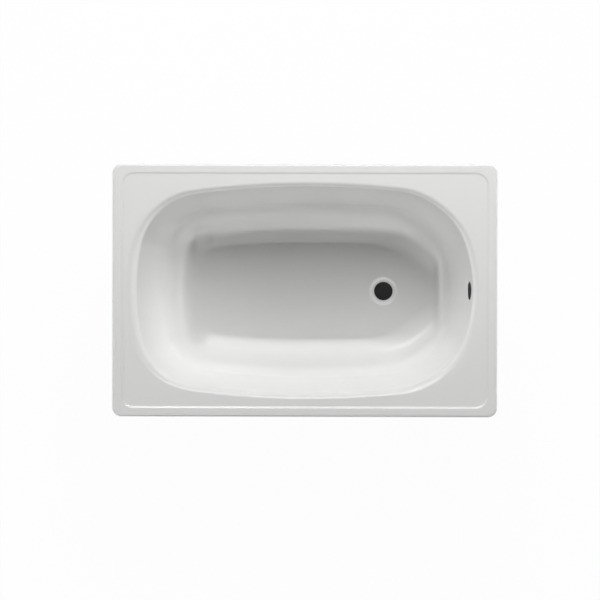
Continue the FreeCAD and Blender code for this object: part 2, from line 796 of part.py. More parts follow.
def support_pad(end):
    """Rubber block between a bar and the sloping floor."""
    name = end + "_support_pad"
    low = f"({ENDS[end]} - pad_half_length)"
    high = f"({ENDS[end]} + pad_half_length)"
    body = new_body(name + "_body")
    side = new_sketch(body, name + "_side", "XZ_Plane")
    outline(side, [(low, BAR_TOP), (high, BAR_TOP), (high, under(high)), (low, under(low))])
    pad(body, side, "pad_width", both_ways=True)
    fillet(body, is_upright, "pad_corner_radius")
    return node(body, name)


# Feet


def foot(end, side):
    """Threaded stud in a plastic cap on a rubber sole, with the nuts that clamp the bar."""
    x = ENDS[end]
    y = f"{SIDES[side]} * {FOOT_Y}"
    tag = f"{end}_{side}"
    inner = "(stud_radius - stud_chamfer)"
    stud = turned(tag + "_stud_body", [("0", STUD_FOOT), ("stud_radius", STUD_FOOT),
                                       ("stud_radius", f"{STUD_TOP} - stud_chamfer"), (inner, STUD_TOP),
                                       ("0", STUD_TOP)], x, y)
    node(stud, tag + "_stud")
    rim_top = "sole_sheet + cap_rim_height"
    shoulder = f"{rim_top} + cap_shoulder_height"
    neck_top = f"{shoulder} + cap_neck_height"
    bore = "(stud_radius + thread_clearance)"
    cap = turned(tag + "_cap_body", [("0", "sole_sheet"), ("cap_base_radius", "sole_sheet"),
                                     ("cap_base_radius", rim_top), ("cap_shoulder_radius", shoulder),
                                     ("cap_neck_radius", neck_top), (bore, neck_top),
                                     (bore, STUD_FOOT), ("0", STUD_FOOT)], x, y)
    wide = value("cap_base_radius")
    fillet(cap, lambda edge: edge.Curve.TypeId == "Part::GeomCircle"
           and abs(edge.Curve.Radius - wide) < SAME_PLACE, "cap_edge_radius")
    node(cap, tag + "_foot_cap")
    sole = turned(tag + "_sole_body", [("0", "0"), ("sole_radius - sole_chamfer", "0"),
                                       ("sole_radius", "sole_chamfer"), ("sole_radius", "sole_sheet"),
                                       ("0", "sole_sheet")], x, y)
    node(sole, tag + "_foot_sole")
    below = f"({WEB_UNDER} - stud_washer_sheet)"
    above = f"({BAR_TOP} + stud_washer_sheet)"
    node(nut(tag + "_lower_nut", "stud_nut_flats", bore, "stud_nut_height",
             (x, y, f"{below} - stud_nut_height")), tag + "_adjusting_nut")
    node(nut(tag + "_upper_nut", "stud_nut_flats", bore, "stud_nut_height", (x, y, above)),
         tag + "_lock_nut")
    return [ring(f"{tag}_{place_name}_washer", "stud_washer_radius", "stud_radius + hole_clearance",
                 "stud_washer_sheet", (x, y, level))
            for place_name, level in (("upper", BAR_TOP), ("lower", below))]


def all_feet():
    """The four feet and their two sets of washers."""
    upper, lower = zip(*[foot(end, side) for end in ENDS for side in SIDES])
    node(group("upper_washer_set", upper), "upper_stud_washers")
    node(group("lower_washer_set", lower), "lower_stud_washers")


# Earthing tab


def earthing_tab():
    """Bent tab welded under the deck, with a screw, washer and nut for the bonding conductor."""
    back = f"({TAB_X} - tab_lap)"
    inner = f"({TAB_X} - tab_sheet)"
    foot_level = f"({UNDER_DECK} - tab_hang)"
    lap_under = f"({UNDER_DECK} - tab_sheet)"
    body = new_body("tab_body")
    bend = new_sketch(body, "tab_bend", "XZ_Plane", "-tab_offset")
    outline(bend, [(back, UNDER_DECK), (TAB_X, UNDER_DECK), (TAB_X, foot_level), (inner, foot_level),
                   (inner, lap_under), (back, lap_under)])
    pad(body, bend, "tab_width", both_ways=True)
    box = body.Shape.BoundBox
    fillet(body, lambda edge: runs_along(edge, "x") and is_at(edge, box.ZMin), "tab_corner_radius")
    hole = new_sketch(body, "tab_hole", "YZ_Plane", f"{TAB_X} + cut_overrun")
    circle(hole, "tab_screw_radius + hole_clearance", "tab_offset", TAB_SCREW_Z)
    pocket(body, hole, "tab_sheet + 2 * cut_overrun")
    node(body, "earthing_tab")
    bore = "tab_screw_radius + thread_clearance"
    head_at = (f"{TAB_X} + tab_washer_sheet", "tab_offset", TAB_SCREW_Z)
    nut_at = (f"{inner} - tab_nut_height", "tab_offset", TAB_SCREW_Z)
    node(ring("tab_washer", "tab_washer_radius", bore, "tab_washer_sheet",
              (TAB_X, "tab_offset", TAB_SCREW_Z), along_x=True), "earthing_washer")
    node(nut("tab_nut", "tab_head_flats", bore, "tab_nut_height", nut_at, along_x=True), "earthing_nut")
    head = hexagon("tab_screw_head", "tab_head_flats", "tab_head_height", head_at, ("high",), along_x=True)
    shank_length = "tab_head_height + tab_washer_sheet + tab_sheet + tab_nut_height + tab_screw_spare"
    shank = cylinder("tab_screw_shank", "tab_screw_radius", shank_length,
                     f"{inner} - tab_nut_height - tab_screw_spare", "tab_offset", TAB_SCREW_Z, along_x=True)
    node(fuse("tab_screw", head, shank), "earthing_screw")


def check_model():
    """Stop if any feature failed or any sub-part is not a sound solid."""
    doc.recompute()
    for item in doc.Objects:
        if "Invalid" in item.State or "Error" in item.State:
            raise RuntimeError(f"{item.Name} failed: {item.State}")
    for item in nodes:
        if item.Shape.isNull() or not item.Shape.isValid() or not item.Shape.Solids:
            raise RuntimeError(f"{item.Label} is not a sound solid")


def write_parts():
    """Write each sub-part under its label."""
    os.makedirs("parts", exist_ok=True)
    for item in nodes:
        item.Shape.exportStep(f"parts/{item.Label}.step")


bath_shell()
floor_mat()
wall_mats()
for end in ENDS:
    for side in SIDES:
        mounting_lug(end, side)
lug_fasteners()
for end in ENDS:
    leg_bar(end)
    support_pad(end)
all_feet()
earthing_tab()
check_model()
write_parts()
print(len(nodes), "sub-parts,", sum(len(item.Shape.Solids) for item in nodes), "solids")
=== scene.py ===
import math

import bpy
from bpy.props import FloatProperty, FloatVectorProperty, IntProperty, PointerProperty
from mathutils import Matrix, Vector


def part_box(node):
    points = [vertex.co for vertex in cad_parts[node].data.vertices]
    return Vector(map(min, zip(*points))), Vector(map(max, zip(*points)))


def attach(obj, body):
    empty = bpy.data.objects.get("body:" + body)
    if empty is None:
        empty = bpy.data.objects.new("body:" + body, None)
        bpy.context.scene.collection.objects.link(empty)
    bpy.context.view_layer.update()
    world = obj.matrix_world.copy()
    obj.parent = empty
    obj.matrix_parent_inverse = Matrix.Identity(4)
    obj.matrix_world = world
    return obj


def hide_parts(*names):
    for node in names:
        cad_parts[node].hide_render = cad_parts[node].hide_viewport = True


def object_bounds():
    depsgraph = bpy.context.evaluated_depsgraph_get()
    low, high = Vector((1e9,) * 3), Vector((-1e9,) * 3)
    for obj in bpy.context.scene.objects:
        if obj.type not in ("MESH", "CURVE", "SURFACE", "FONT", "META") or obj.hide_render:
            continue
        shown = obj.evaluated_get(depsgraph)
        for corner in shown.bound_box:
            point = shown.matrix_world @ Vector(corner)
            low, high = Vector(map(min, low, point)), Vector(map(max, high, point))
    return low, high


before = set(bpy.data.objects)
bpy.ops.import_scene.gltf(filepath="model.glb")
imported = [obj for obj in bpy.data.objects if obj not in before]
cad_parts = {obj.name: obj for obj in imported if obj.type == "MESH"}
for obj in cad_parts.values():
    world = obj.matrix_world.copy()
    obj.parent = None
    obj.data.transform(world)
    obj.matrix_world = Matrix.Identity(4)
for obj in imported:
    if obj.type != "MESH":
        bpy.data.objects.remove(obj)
cad_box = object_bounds()

bl_info = {
    "name": "Pressed steel bath",
    "version": (1, 0, 0),
    "blender": (4, 5, 0),
    "location": "View3D > Sidebar > Bath",
    "description": "Dresses the bath with its enamelled pressing, feet, fasteners, finishes and studio",
    "category": "Object",
}

CORNERS = ("head_left", "head_right", "drain_left", "drain_right")
FULL_TURN = math.tau
QUARTER_TURN = math.pi / 2
MERGE_GAP = 2e-6


def blend(low, high, amount):
    """Value between two others."""
    return low + (high - low) * amount


def shares(steps):
    """Even shares of a way in steps, from none of it to all of it."""
    return [k / steps for k in range(steps + 1)]


def eased(part):
    """Share of a way that starts and ends softly."""
    return part * part * (3 - 2 * part)


# Sizes


def length(name, default, description):
    return FloatProperty(name=name, default=default, description=description, unit="LENGTH", precision=4)


def angle(name, degrees, description):
    return FloatProperty(name=name, default=math.radians(degrees), description=description, subtype="ANGLE")


def share(name, default, description):
    return FloatProperty(name=name, default=default, description=description, min=0, max=1)


def watts(name, default, description):
    return FloatProperty(name=name, default=default, description=description, min=0, unit="POWER")


def colour(name, default, description):
    return FloatVectorProperty(name=name, default=default, description=description, subtype="COLOR",
                               min=0, max=1)


class PressingSizes(bpy.types.PropertyGroup):
    """Sizes of the enamelled pressing."""

    bath_length: length("Bath length", 1.050, "Length over the skirt")
    bath_width: length("Bath width", 0.690, "Width over the skirt")
    rim_height: length("Rim height", 0.560, "Top of the rim above the floor")
    sheet: length("Sheet", 0.0018, "Thickness of the enamelled sheet")
    cut_edge: length("Cut edge", 0.0004, "Rounding of the edges of the sheet")
    corner_radius: length("Corner radius", 0.026, "Corners of the rim seen from above")
    edge_radius: length("Edge radius", 0.007, "Rolled outer edge of the rim")
    skirt_depth: length("Skirt depth", 0.030, "Depth of the skirt below the rim's top")
    border_width: length("Border width", 0.026, "From the skirt to the middle of the step")
    step_depth: length("Step depth", 0.003, "Depth of the deck below the border")
    step_spread: length("Step spread", 0.0075, "Width over which the step falls")
    step_radius: length("Step radius", 0.034, "Corners of the step seen from above")
    side_mouth: length("Side mouth", 0.297, "From the bath's middle to the mouth at a long side")
    head_mouth: length("Head mouth", 0.487, "From the bath's middle to the mouth at the head end")
    drain_mouth: length("Drain mouth", 0.478, "From the bath's middle to the mouth at the drain end")
    bowl_depth: length("Bowl depth", 0.374, "Depth of the floor below the deck")
    side_floor: length("Side floor", 0.134, "From the bath's middle to the floor's edge at a long side")
    head_floor: length("Head floor", 0.288, "From the bath's middle to the floor's edge at the head end")
    drain_floor: length("Drain floor", 0.348, "From the bath's middle to the floor's edge at the drain end")
    floor_fall: length("Floor fall", 0.003, "Fall of the floor from the bath's middle to the drain")
    drain_place: length("Drain place", 0.216, "From the bath's middle to the drain")
    roll_start: angle("Roll start", 10, "Slope of the mouth's roll where it meets the deck's level")
    soft_start: angle("Soft start", 16, "Slope up to which the enamel softens the mouth's edge")
    crease: angle("Crease", 9, "Slope at which the cove leaves the floor")
    side_roll: length("Side roll", 0.017, "Radius of the mouth's roll at the long sides")
    side_cove: length("Side cove", 0.130, "Radius of the cove at the long sides")
    head_roll: length("Head roll", 0.036, "Radius of the mouth's roll at the head end")
    head_cove: length("Head cove", 0.140, "Radius of the cove at the head end")
    drain_roll: length("Drain roll", 0.025, "Radius of the mouth's roll at the drain end")
    drain_cove: length("Drain cove", 0.062, "Radius of the cove at the drain end")
    drain_hole: length("Drain hole radius", 0.026, "Radius of the drain hole")
    seat_radius: length("Seat radius", 0.0300, "Radius of the flat seat round the drain hole")
    dish_radius: length("Dish radius", 0.0405, "Radius at which the floor starts to fall to the seat")
    seat_height: length("Seat height", 0.175, "Height of the drain's seat above the floor under the bath")
    overflow_hole: length("Overflow hole radius", 0.026, "Radius of the overflow hole")
    overflow_depth: length("Overflow depth", 0.062, "Depth of the overflow hole's middle below the deck")


# Turns and radii of the bowl's outline: kind, name, label, value at the mouth, value at the floor, meaning
OUTLINE = (
    (angle, "head_side", "Head side turn", 8, 6, "Turn of the side near the head"),
    (angle, "head_end", "Head corner turn", 78, 84, "Turn where the head end's corner ends"),
    (length, "head_bow", "Head bow", 0.600, 0.800, "Radius of the head end"),
    (angle, "drain_side", "Drain side turn", 6, 1, "Turn of the side near the drain"),
    (angle, "shoulder", "Shoulder turn", 28, 38, "Turn where the shoulder ends"),
    (angle, "taper", "Taper turn", 45, 39.5, "Turn where the taper ends"),
    (angle, "nose", "Nose turn", 70, 86.5, "Turn where the nose's corner ends"),
    (length, "shoulder_radius", "Shoulder radius", 0.210, 0.168, "Radius of the shoulder"),
    (length, "nose_radius", "Nose radius", 0.210, 0.016, "Radius of the nose's corner"),
    (length, "drain_bow", "Drain bow", 0.400, 0.400, "Radius of the drain end"),
)
for make, key, label, mouth, floor, meaning in OUTLINE:
    for level, default in (("mouth", mouth), ("floor", floor)):
        PressingSizes.__annotations__[f"{key}_{level}"] = make(f"{label}, {level}", default,
                                                               f"{meaning} at the {level}")


class FixingSizes(bpy.types.PropertyGroup):
    """Sizes of threads, welds and mouldings."""

    stud_pitch: length("Stud pitch", 0.00175, "Thread pitch of the feet's studs")
    bolt_pitch: length("Bolt pitch", 0.00125, "Thread pitch of the lug bolts")
    screw_pitch: length("Screw pitch", 0.001, "Thread pitch of the earthing screw")
    thread_clearance: length("Thread clearance", 0.00005, "Gap between a stud and its nuts")
    thread_share: share("Thread depth share", 0.55, "Depth of a thread as a share of its pitch")
    weld_radius: length("Weld radius", 0.0017, "Radius of the weld beads along the lugs")
    weld_ripple: length("Weld ripple", 0.0016, "Spacing of the ripples in a weld bead")
    cap_ribs: IntProperty(name="Cap ribs", default=14, min=3, description="Ribs moulded on a foot's cap")
    rib_depth: length("Rib depth", 0.0011, "Depth of the grooves between a cap's ribs")
    tread_depth: length("Tread depth", 0.0007, "Depth of the grooves under a rubber sole")


class Finishes(bpy.types.PropertyGroup):
    """Colours of the finishes."""

    enamel: colour("Enamel", (0.80, 0.80, 0.795), "White enamel on the bath's show side")
    ground_coat: colour("Ground coat", (0.075, 0.08, 0.09), "Dark enamel on the bath's underside")
    zinc: colour("Zinc", (0.60, 0.61, 0.62), "Zinc plating of the bars and fasteners")
    plastic: colour("Plastic", (0.022, 0.022, 0.024), "Moulded caps of the feet")
    rubber: colour("Rubber", (0.03, 0.03, 0.031), "Soles and support pads")
    bitumen: colour("Bitumen", (0.055, 0.053, 0.052), "Damping mats")


class StudioSizes(bpy.types.PropertyGroup):
    """Camera, lamps and floor."""

    camera_height: length("Camera height", 13.0, "Height of the camera above the floor")
    camera_x: length("Camera x", 0.159, "Place of the camera along the bath")
    camera_y: length("Camera y", -0.058, "Place of the camera across the bath")
    camera_pitch: angle("Camera pitch", 0.147, "Tilt of the camera about the X axis")
    camera_roll: angle("Camera roll", 0.79, "Tilt of the camera about the Y axis")
    camera_turn: angle("Camera turn", 0.127, "Turn of the camera about the Z axis")
    lens: FloatProperty(name="Lens", default=274.1, description="Focal length in millimetres", min=1)
    key_power: watts("Key power", 90.0, "Power of the large north lamp")
    strip_power: watts("Strip power", 4.6, "Power of the lamp the bath mirrors")
    card_power: watts("Card power", 19.0, "Power of the south reflection card")
    fill_power: watts("Fill power", 20.0, "Power of the lamp from the south")
    east_power: watts("East power", 28.0, "Power of the lamp from the east")
    west_power: watts("West power", 24.0, "Power of the lamp from the west")
    sky: share("Sky", 0.06, "Strength of the even light from all round")
    floor_tone: share("Floor tone", 0.80, "Grey of the studio floor")


# Node trees


def worked(operation, swapped=False):
    """Method of Value that adds the Math node for an operation."""
    def method(self, *others):
        return self.graph.maths(operation, *((*others, self) if swapped else (self, *others)))
    return method


class Value:
    """A socket in a node tree. Arithmetic on it adds the Math nodes that work it out."""

    def __init__(self, graph, socket):
        self.graph = graph
        self.socket = socket

    def also(self, name):
        """Another output of the same node."""
        return Value(self.graph, self.socket.node.outputs[name])

    def maths(self, operation, *others):
        return self.graph.maths(operation, self, *others)

    def between(self, low, high):
        return self.maths("MAXIMUM", low).maths("MINIMUM", high)

    __add__ = __radd__ = worked("ADD")
    __sub__ = worked("SUBTRACT")
    __rsub__ = worked("SUBTRACT", swapped=True)
    __mul__ = __rmul__ = worked("MULTIPLY")
    __truediv__ = worked("DIVIDE")
    __rtruediv__ = worked("DIVIDE", swapped=True)
    __pow__ = worked("POWER")
    __lt__ = worked("LESS_THAN")
    __gt__ = worked("GREATER_THAN")
    __abs__ = worked("ABSOLUTE")


class Graph:
    """A node tree under construction."""

    def __init__(self, tree):
        self.tree = tree

    def add(self, kind, inputs=(), output=0, **settings):
        """New node of a kind: its settings are made first, then its inputs get values or links."""
        node = self.tree.nodes.new(kind)
        for name, setting in settings.items():
            setattr(node, name, setting)
        for key, given in dict(inputs).items():
            if isinstance(given, Value):
                self.tree.links.new(given.socket, node.inputs[key])
            else:
                node.inputs[key].default_value = given
        return Value(self, node.outputs[output]) if len(node.outputs) else node

    def maths(self, operation, *values):
        return self.add("ShaderNodeMath", dict(enumerate(values)), operation=operation)


def sine(value):
    return value.maths("SINE") if isinstance(value, Value) else math.sin(value)


def cosine(value):
    return value.maths("COSINE") if isinstance(value, Value) else math.cos(value)


# Geometry trees


def new_tree(name, **inputs):
    """Geometry tree with inputs named by kind, its graph and a function that gives an input by name."""
    tree = bpy.data.node_groups.new(name, "GeometryNodeTree")
    tree.interface.new_socket("Geometry", in_out="INPUT", socket_type="NodeSocketGeometry")
    tree.interface.new_socket("Geometry", in_out="OUTPUT", socket_type="NodeSocketGeometry")
    for kind, labels in inputs.items():
        for label in labels:
            tree.interface.new_socket(label, in_out="INPUT", socket_type="NodeSocket" + kind)
    graph = Graph(tree)
    return tree, graph, graph.add("NodeGroupInput").also


def finish_tree(graph, geometry, material):
    """End a tree: real geometry, smooth shading and its finish."""
    real = graph.add("GeometryNodeRealizeInstances", {"Geometry": geometry})
    smooth = graph.add("GeometryNodeSetShadeSmooth", {"Geometry": real})
    dressed = graph.add("GeometryNodeSetMaterial", {"Geometry": smooth, "Material": material})
    graph.add("NodeGroupOutput", {"Geometry": dressed})


def swept_grid(graph, rows, columns):
    """Grid of rows and columns, with the number of each point's row and column."""
    grid = graph.add("GeometryNodeMeshGrid", {"Vertices X": columns, "Vertices Y": rows})
    index = graph.add("GeometryNodeInputIndex")
    column = ((index + 0.5) / rows).maths("FLOOR")
    return grid, index - column * rows, column


def row_reader(graph, source, row):
    """Function that reads a number kept on the points of the source, one point for each row."""
    def read(name):
        kept = graph.add("GeometryNodeInputNamedAttribute", {"Name": name}, data_type="FLOAT")
        return graph.add("GeometryNodeSampleIndex", {"Geometry": source, "Value": kept, "Index": row},
                         data_type="FLOAT")
    return read


def put_points(graph, geometry, x, y, z, dropped=None):
    """Move a grid's points, drop those in a hole and close its seams."""
    place = graph.add("ShaderNodeCombineXYZ", {"X": x, "Y": y, "Z": z})
    moved = graph.add("GeometryNodeSetPosition", {"Geometry": geometry, "Position": place})
    if dropped is not None:
        moved = graph.add("GeometryNodeDeleteGeometry", {"Geometry": moved, "Selection": dropped})
    return graph.add("GeometryNodeMergeByDistance", {"Geometry": moved, "Distance": MERGE_GAP})


def points_object(name, rows, names, finishes):
    """Object with one point for each row, carrying the row's named numbers, and a slot for each finish."""
    mesh = bpy.data.meshes.new(name)
    mesh.materials.append(None)
    for finish in finishes:
        mesh.materials.append(bpy.data.materials[finish])
    mesh.from_pydata([(0, 0, 0)] * len(rows), [], [])
    for column, label in enumerate(names):
        kept = mesh.attributes.new(label, "FLOAT", "POINT")
        kept.data.foreach_set("value", [row[column] for row in rows])
    item = bpy.data.objects.new(name, mesh)
    bpy.context.scene.collection.objects.link(item)
    return item


def run_tree(item, tree, values):
    """Give an object a tree's modifier and set its named inputs before it is first evaluated."""
    modifier = item.modifiers.new(tree.name, "NODES")
    modifier.node_group = tree
    for socket in tree.interface.items_tree:
        if socket.in_out == "INPUT" and socket.name in values:
            modifier[socket.identifier] = values[socket.name]
    return item


def made_real(item, crease):
    """Replace an object's mesh by what its modifiers make of it, without the grid's empty first slot.

    Edges that turn by more than the crease, in degrees, stay sharp."""
    finishes = [finish for finish in item.data.materials if finish]
    graph = bpy.context.evaluated_depsgraph_get()
    mesh = bpy.data.meshes.new_from_object(item.evaluated_get(graph), preserve_all_data_layers=True,
                                           depsgraph=graph)
    item.modifiers.clear()
    item.data = mesh
    slots = [face.material_index - 1 for face in mesh.polygons]
    mesh.materials.clear()
    for finish in finishes:
        mesh.materials.append(finish)
    mesh.polygons.foreach_set("material_index", slots)
    mesh.set_sharp_from_angle(angle=math.radians(crease))


# Pressing

# Columns of the pressing's mesh in one quarter of the bath, counted from the middle of a long side:
# along the straight side, round the rim's corner, along the end, and evenly spaced near the end's middle
QUARTER_COLUMNS = 76
CORNER_FROM = 36
CORNER_TO = 46
NEAR_COLUMNS = 14
NEAR_SPACING = 0.00325
# Half the side, in cells, of the square of cells that the overflow hole replaces
HOLE_CELLS = 8
# Steps from ring to ring of the mesh in each part of the pressing's section
SEAT_STEPS, DISH_STEPS, COVE_STEPS, WALL_STEPS, FALL_STEPS, EDGE_STEPS = 3, 10, 34, 10, 10, 8
# Slope, in degrees, at which the rings of the widest cove end
COVE_END = 78
# Edges of the sheet, in degrees: those that get a rounding, and those that stay sharp in the shading
ROUNDED_FROM = 60
PRESSING_CREASE = 50
# Numbers that each ring of the mesh carries
RING_NUMBERS = ("depth", "onto_rim", "inset", "drop", "corner", "onto_dish", "dish", "sink", "row", "by_hole")


def lean_of(sizes, end):
    """Angle from upright of the straight wall between the mouth's roll and the floor's cove."""
    roll = getattr(sizes, end + "_roll")
    cove = getattr(sizes, end + "_cove")
    run = getattr(sizes, end + "_mouth") - getattr(sizes, end + "_floor")
    across = run + cove * math.sin(sizes.crease) + roll * math.sin(sizes.roll_start)
    down = sizes.bowl_depth - cove * math.cos(sizes.crease) - roll * math.cos(sizes.roll_start)
    return math.acos((roll + cove) / math.hypot(across, down)) - math.atan2(down, across)


def pressing_rings(sizes):
    """Rings of the pressing from the drain hole outwards to the foot of the skirt."""
    rings = []

    def ring(**given):
        rings.append([given.get(name, 0) for name in RING_NUMBERS])

    floor = sizes.bowl_depth
    for part in shares(SEAT_STEPS)[:-1]:
        ring(depth=floor, onto_dish=1, dish=blend(sizes.drain_hole, sizes.seat_radius, part), sink=1)
    for part in shares(DISH_STEPS):
        ring(depth=floor, onto_dish=1, dish=blend(sizes.seat_radius, sizes.dish_radius, part),
             sink=1 - eased(part))
    for part in (0.94, 0.84, 0.68, 0.48, 0.26, 0.1, 0.03):
        ring(depth=floor, onto_dish=part, dish=sizes.dish_radius)
    cove = max(sizes.side_cove, sizes.head_cove, sizes.drain_cove)
    cove_middle = floor - cove * math.cos(sizes.crease)
    cove_turn = math.radians(COVE_END)
    for part in shares(COVE_STEPS):
        ring(depth=cove_middle + cove * math.cos(blend(sizes.crease, cove_turn, part)))
    cell = NEAR_SPACING * math.cos(lean_of(sizes, "drain"))
    block_low = sizes.overflow_depth + NEAR_COLUMNS * cell
    wall_low = cove_middle + cove * math.cos(cove_turn)
    for part in shares(WALL_STEPS)[1:-1]:
        ring(depth=blend(wall_low, block_low, part))
    for row in range(NEAR_COLUMNS, -NEAR_COLUMNS - 1, -1):
        ring(depth=sizes.overflow_depth + row * cell, row=row, by_hole=1)
    roll = min(sizes.side_roll, sizes.head_roll, sizes.drain_roll)
    roll_top = roll * math.cos(sizes.roll_start)
    block_high = sizes.overflow_depth - NEAR_COLUMNS * cell
    for degrees in (80, 74, 68, 62, 56, 50, 44, 38, 32, 27, 22, 18, 14, 11.5):
        depth = roll_top - roll * math.cos(math.radians(degrees))
        if depth < block_high:
            ring(depth=depth)
    ring()
    step_low = sizes.border_width + sizes.step_spread / 2
    step_high = sizes.border_width - sizes.step_spread / 2

    def corner_at(inset):
        return sizes.step_radius + sizes.border_width - inset

    for part in (0.3, 0.6, 0.85):
        ring(onto_rim=part, inset=step_low, drop=sizes.step_depth, corner=corner_at(step_low))
    for part in shares(FALL_STEPS):
        inset = blend(step_low, step_high, part)
        ring(onto_rim=1, inset=inset, drop=sizes.step_depth * (1 - eased(part)), corner=corner_at(inset))
    edge = sizes.edge_radius
    for part in (0.4, 0.8):
        ring(onto_rim=1, inset=blend(step_high, edge, part),
             corner=blend(corner_at(step_high), sizes.corner_radius - edge, part))
    for part in shares(EDGE_STEPS):
        turn = QUARTER_TURN * part
        inset = edge * (1 - math.sin(turn))
        ring(onto_rim=1, inset=inset, drop=edge * (1 - math.cos(turn)), corner=sizes.corner_radius - inset)
    for part in (0.4, 0.8, 1):
        ring(onto_rim=1, drop=blend(edge, sizes.skirt_depth, part), corner=sizes.corner_radius)
    return rings


def wall_inset(size, end, depth):
    """How far the wall lies inside the mouth line at a depth: softened edge, roll, straight wall, cove."""
    roll = size(end + "_roll")
    cove = size(end + "_cove")
    lean = size(end + "_lean")
    start = size("roll_start")
    soft = size("soft_start")
    roll_middle = roll * cosine(start)
    soft_foot = roll_middle - roll * cosine(soft)
    roll_foot = roll_middle - roll * sine(lean)
    crease = size("crease")
    cove_middle = size("bowl_depth") - cove * cosine(crease)
    cove_head = cove_middle + cove * sine(lean)
    soft_run = soft_foot * 2 / soft.maths("TANGENT")
    soft_end = roll * (sine(soft) - sine(start))
    softened = soft_end - soft_run + soft_run * (depth.between(0, soft_foot) / soft_foot).maths("SQRT")
    in_roll = (roll_middle - depth.between(soft_foot, roll_foot)) / roll
    rolled = roll * (sine(in_roll.maths("ARCCOSINE")) - sine(soft))
    straight = (depth.between(roll_foot, cove_head) - roll_foot) * lean.maths("TANGENT")
    in_cove = ((depth.between(cove_head, size("bowl_depth")) - cove_middle) / cove).between(0, cosine(crease))
    coved = cove * (cosine(lean) - sine(in_cove.maths("ARCCOSINE")))
    return softened + rolled + straight + coved


def arc_chain(half, reach, turns, radii, free):
    """Radii of tangent arcs from (0, half) to (reach, 0), two of them worked out, and their lengths."""
    across = [sine(after) - sine(before) for before, after in zip(turns, turns[1:])]
    down = [cosine(before) - cosine(after) for before, after in zip(turns, turns[1:])]
    rest_x = reach
    rest_y = half
    for k, radius in enumerate(radii):
        if k not in free:
            rest_x = rest_x - across[k] * radius
            rest_y = rest_y - down[k] * radius
    one, two = free
    scale = across[one] * down[two] - across[two] * down[one]
    solved = list(radii)
    solved[one] = (rest_x * down[two] - rest_y * across[two]) / scale
    solved[two] = (rest_y * across[one] - rest_x * down[one]) / scale
    lengths = [radius * (after - before) for radius, before, after in zip(solved, turns, turns[1:])]
    return solved, lengths


def along_chain(half, turns, radii, lengths, way):
    """Place on a chain of tangent arcs, a way along it."""
    x = 0
    y = half
    passed = 0
    for before, radius, span in zip(turns, radii, lengths):
        turn = before + (way - passed).between(0, span) / radius
        x = x + radius * (sine(turn) - sine(before))
        y = y - radius * (cosine(before) - cosine(turn))
        passed = passed + span
    return x, y


def bowl_place(size, depth, column, from_end):
    """Places in a quarter of the bowl at the drain end and at the head end, and the depth's share."""
    part = (depth / size("bowl_depth")).between(0, 1)
    side_inset = wall_inset(size, "side", depth)
    onward = (side_inset / (size("side_mouth") - size("side_floor"))).between(0, 1)

    def mixed(name):
        return blend(size(name + "_mouth"), size(name + "_floor"), onward)

    near = NEAR_COLUMNS * NEAR_SPACING
    far_share = (column / (QUARTER_COLUMNS - NEAR_COLUMNS)).between(0, 1)
    side = size("side_mouth") - side_inset
    places = []
    for end, angles, radii, free in (
            ("drain", ("drain_side", "shoulder", "taper", "nose"),
             (0, "shoulder_radius", 0, "nose_radius", "drain_bow"), (0, 2)),
            ("head", ("head_side", "head_end"), (0, 0, "head_bow"), (0, 1))):
        reach = size(end + "_mouth") - wall_inset(size, end, depth)
        turns = [0] + [mixed(name) for name in angles] + [QUARTER_TURN]
        given = [mixed(radius) if radius else 0 for radius in radii]
        solved, lengths = arc_chain(side, reach, turns, given, free)
        way = (sum(lengths) - near) * far_share + near - from_end
        places.append(along_chain(side, turns, solved, lengths, way))
    return places, part


def rim_place(size, column, inset, corner):
    """Place in a quarter of a rounded rectangle that lies inside the rim's outline."""
    reach = size("bath_length") / 2 - inset - corner
    half = size("bath_width") / 2 - inset - corner
    last = QUARTER_COLUMNS - NEAR_COLUMNS
    along = (column / CORNER_FROM).between(0, 1)
    turn = ((column - CORNER_FROM) / (CORNER_TO - CORNER_FROM)).between(0, 1) * QUARTER_TURN
    back = ((column - CORNER_TO) / (last - CORNER_TO)).between(0, 1)
    near = (column - last).between(0, NEAR_COLUMNS) * NEAR_SPACING
    x = reach * along + corner * sine(turn)
    y = half + corner * cosine(turn) - back * (half - NEAR_COLUMNS * NEAR_SPACING) - near
    return x, y


def hole_place(size, from_end, row):
    """Way from the end's middle, depth and cell ring of a point in the cells round the overflow hole."""
    rows = abs(row)
    cell_ring = from_end.maths("MAXIMUM", rows)
    steep = rows > from_end
    eighth = QUARTER_TURN / 2
    flat_turn = row / from_end.maths("MAXIMUM", 1) * eighth
    steep_turn = row.maths("SIGN") * (QUARTER_TURN - from_end / rows.maths("MAXIMUM", 1) * eighth)
    turn = blend(flat_turn, steep_turn, steep)
    outward = ((cell_ring - HOLE_CELLS) / (NEAR_COLUMNS - HOLE_CELLS)).between(0, 1)
    square = NEAR_COLUMNS * NEAR_SPACING / cell_ring.maths("MAXIMUM", 1)
    radius = size("overflow_hole")
    across = blend(radius * cosine(turn), from_end * square, outward)
    down = blend(radius * sine(turn), row * square, outward)
    depth = size("overflow_depth") + down * cosine(size("drain_lean"))
    return across, depth, cell_ring


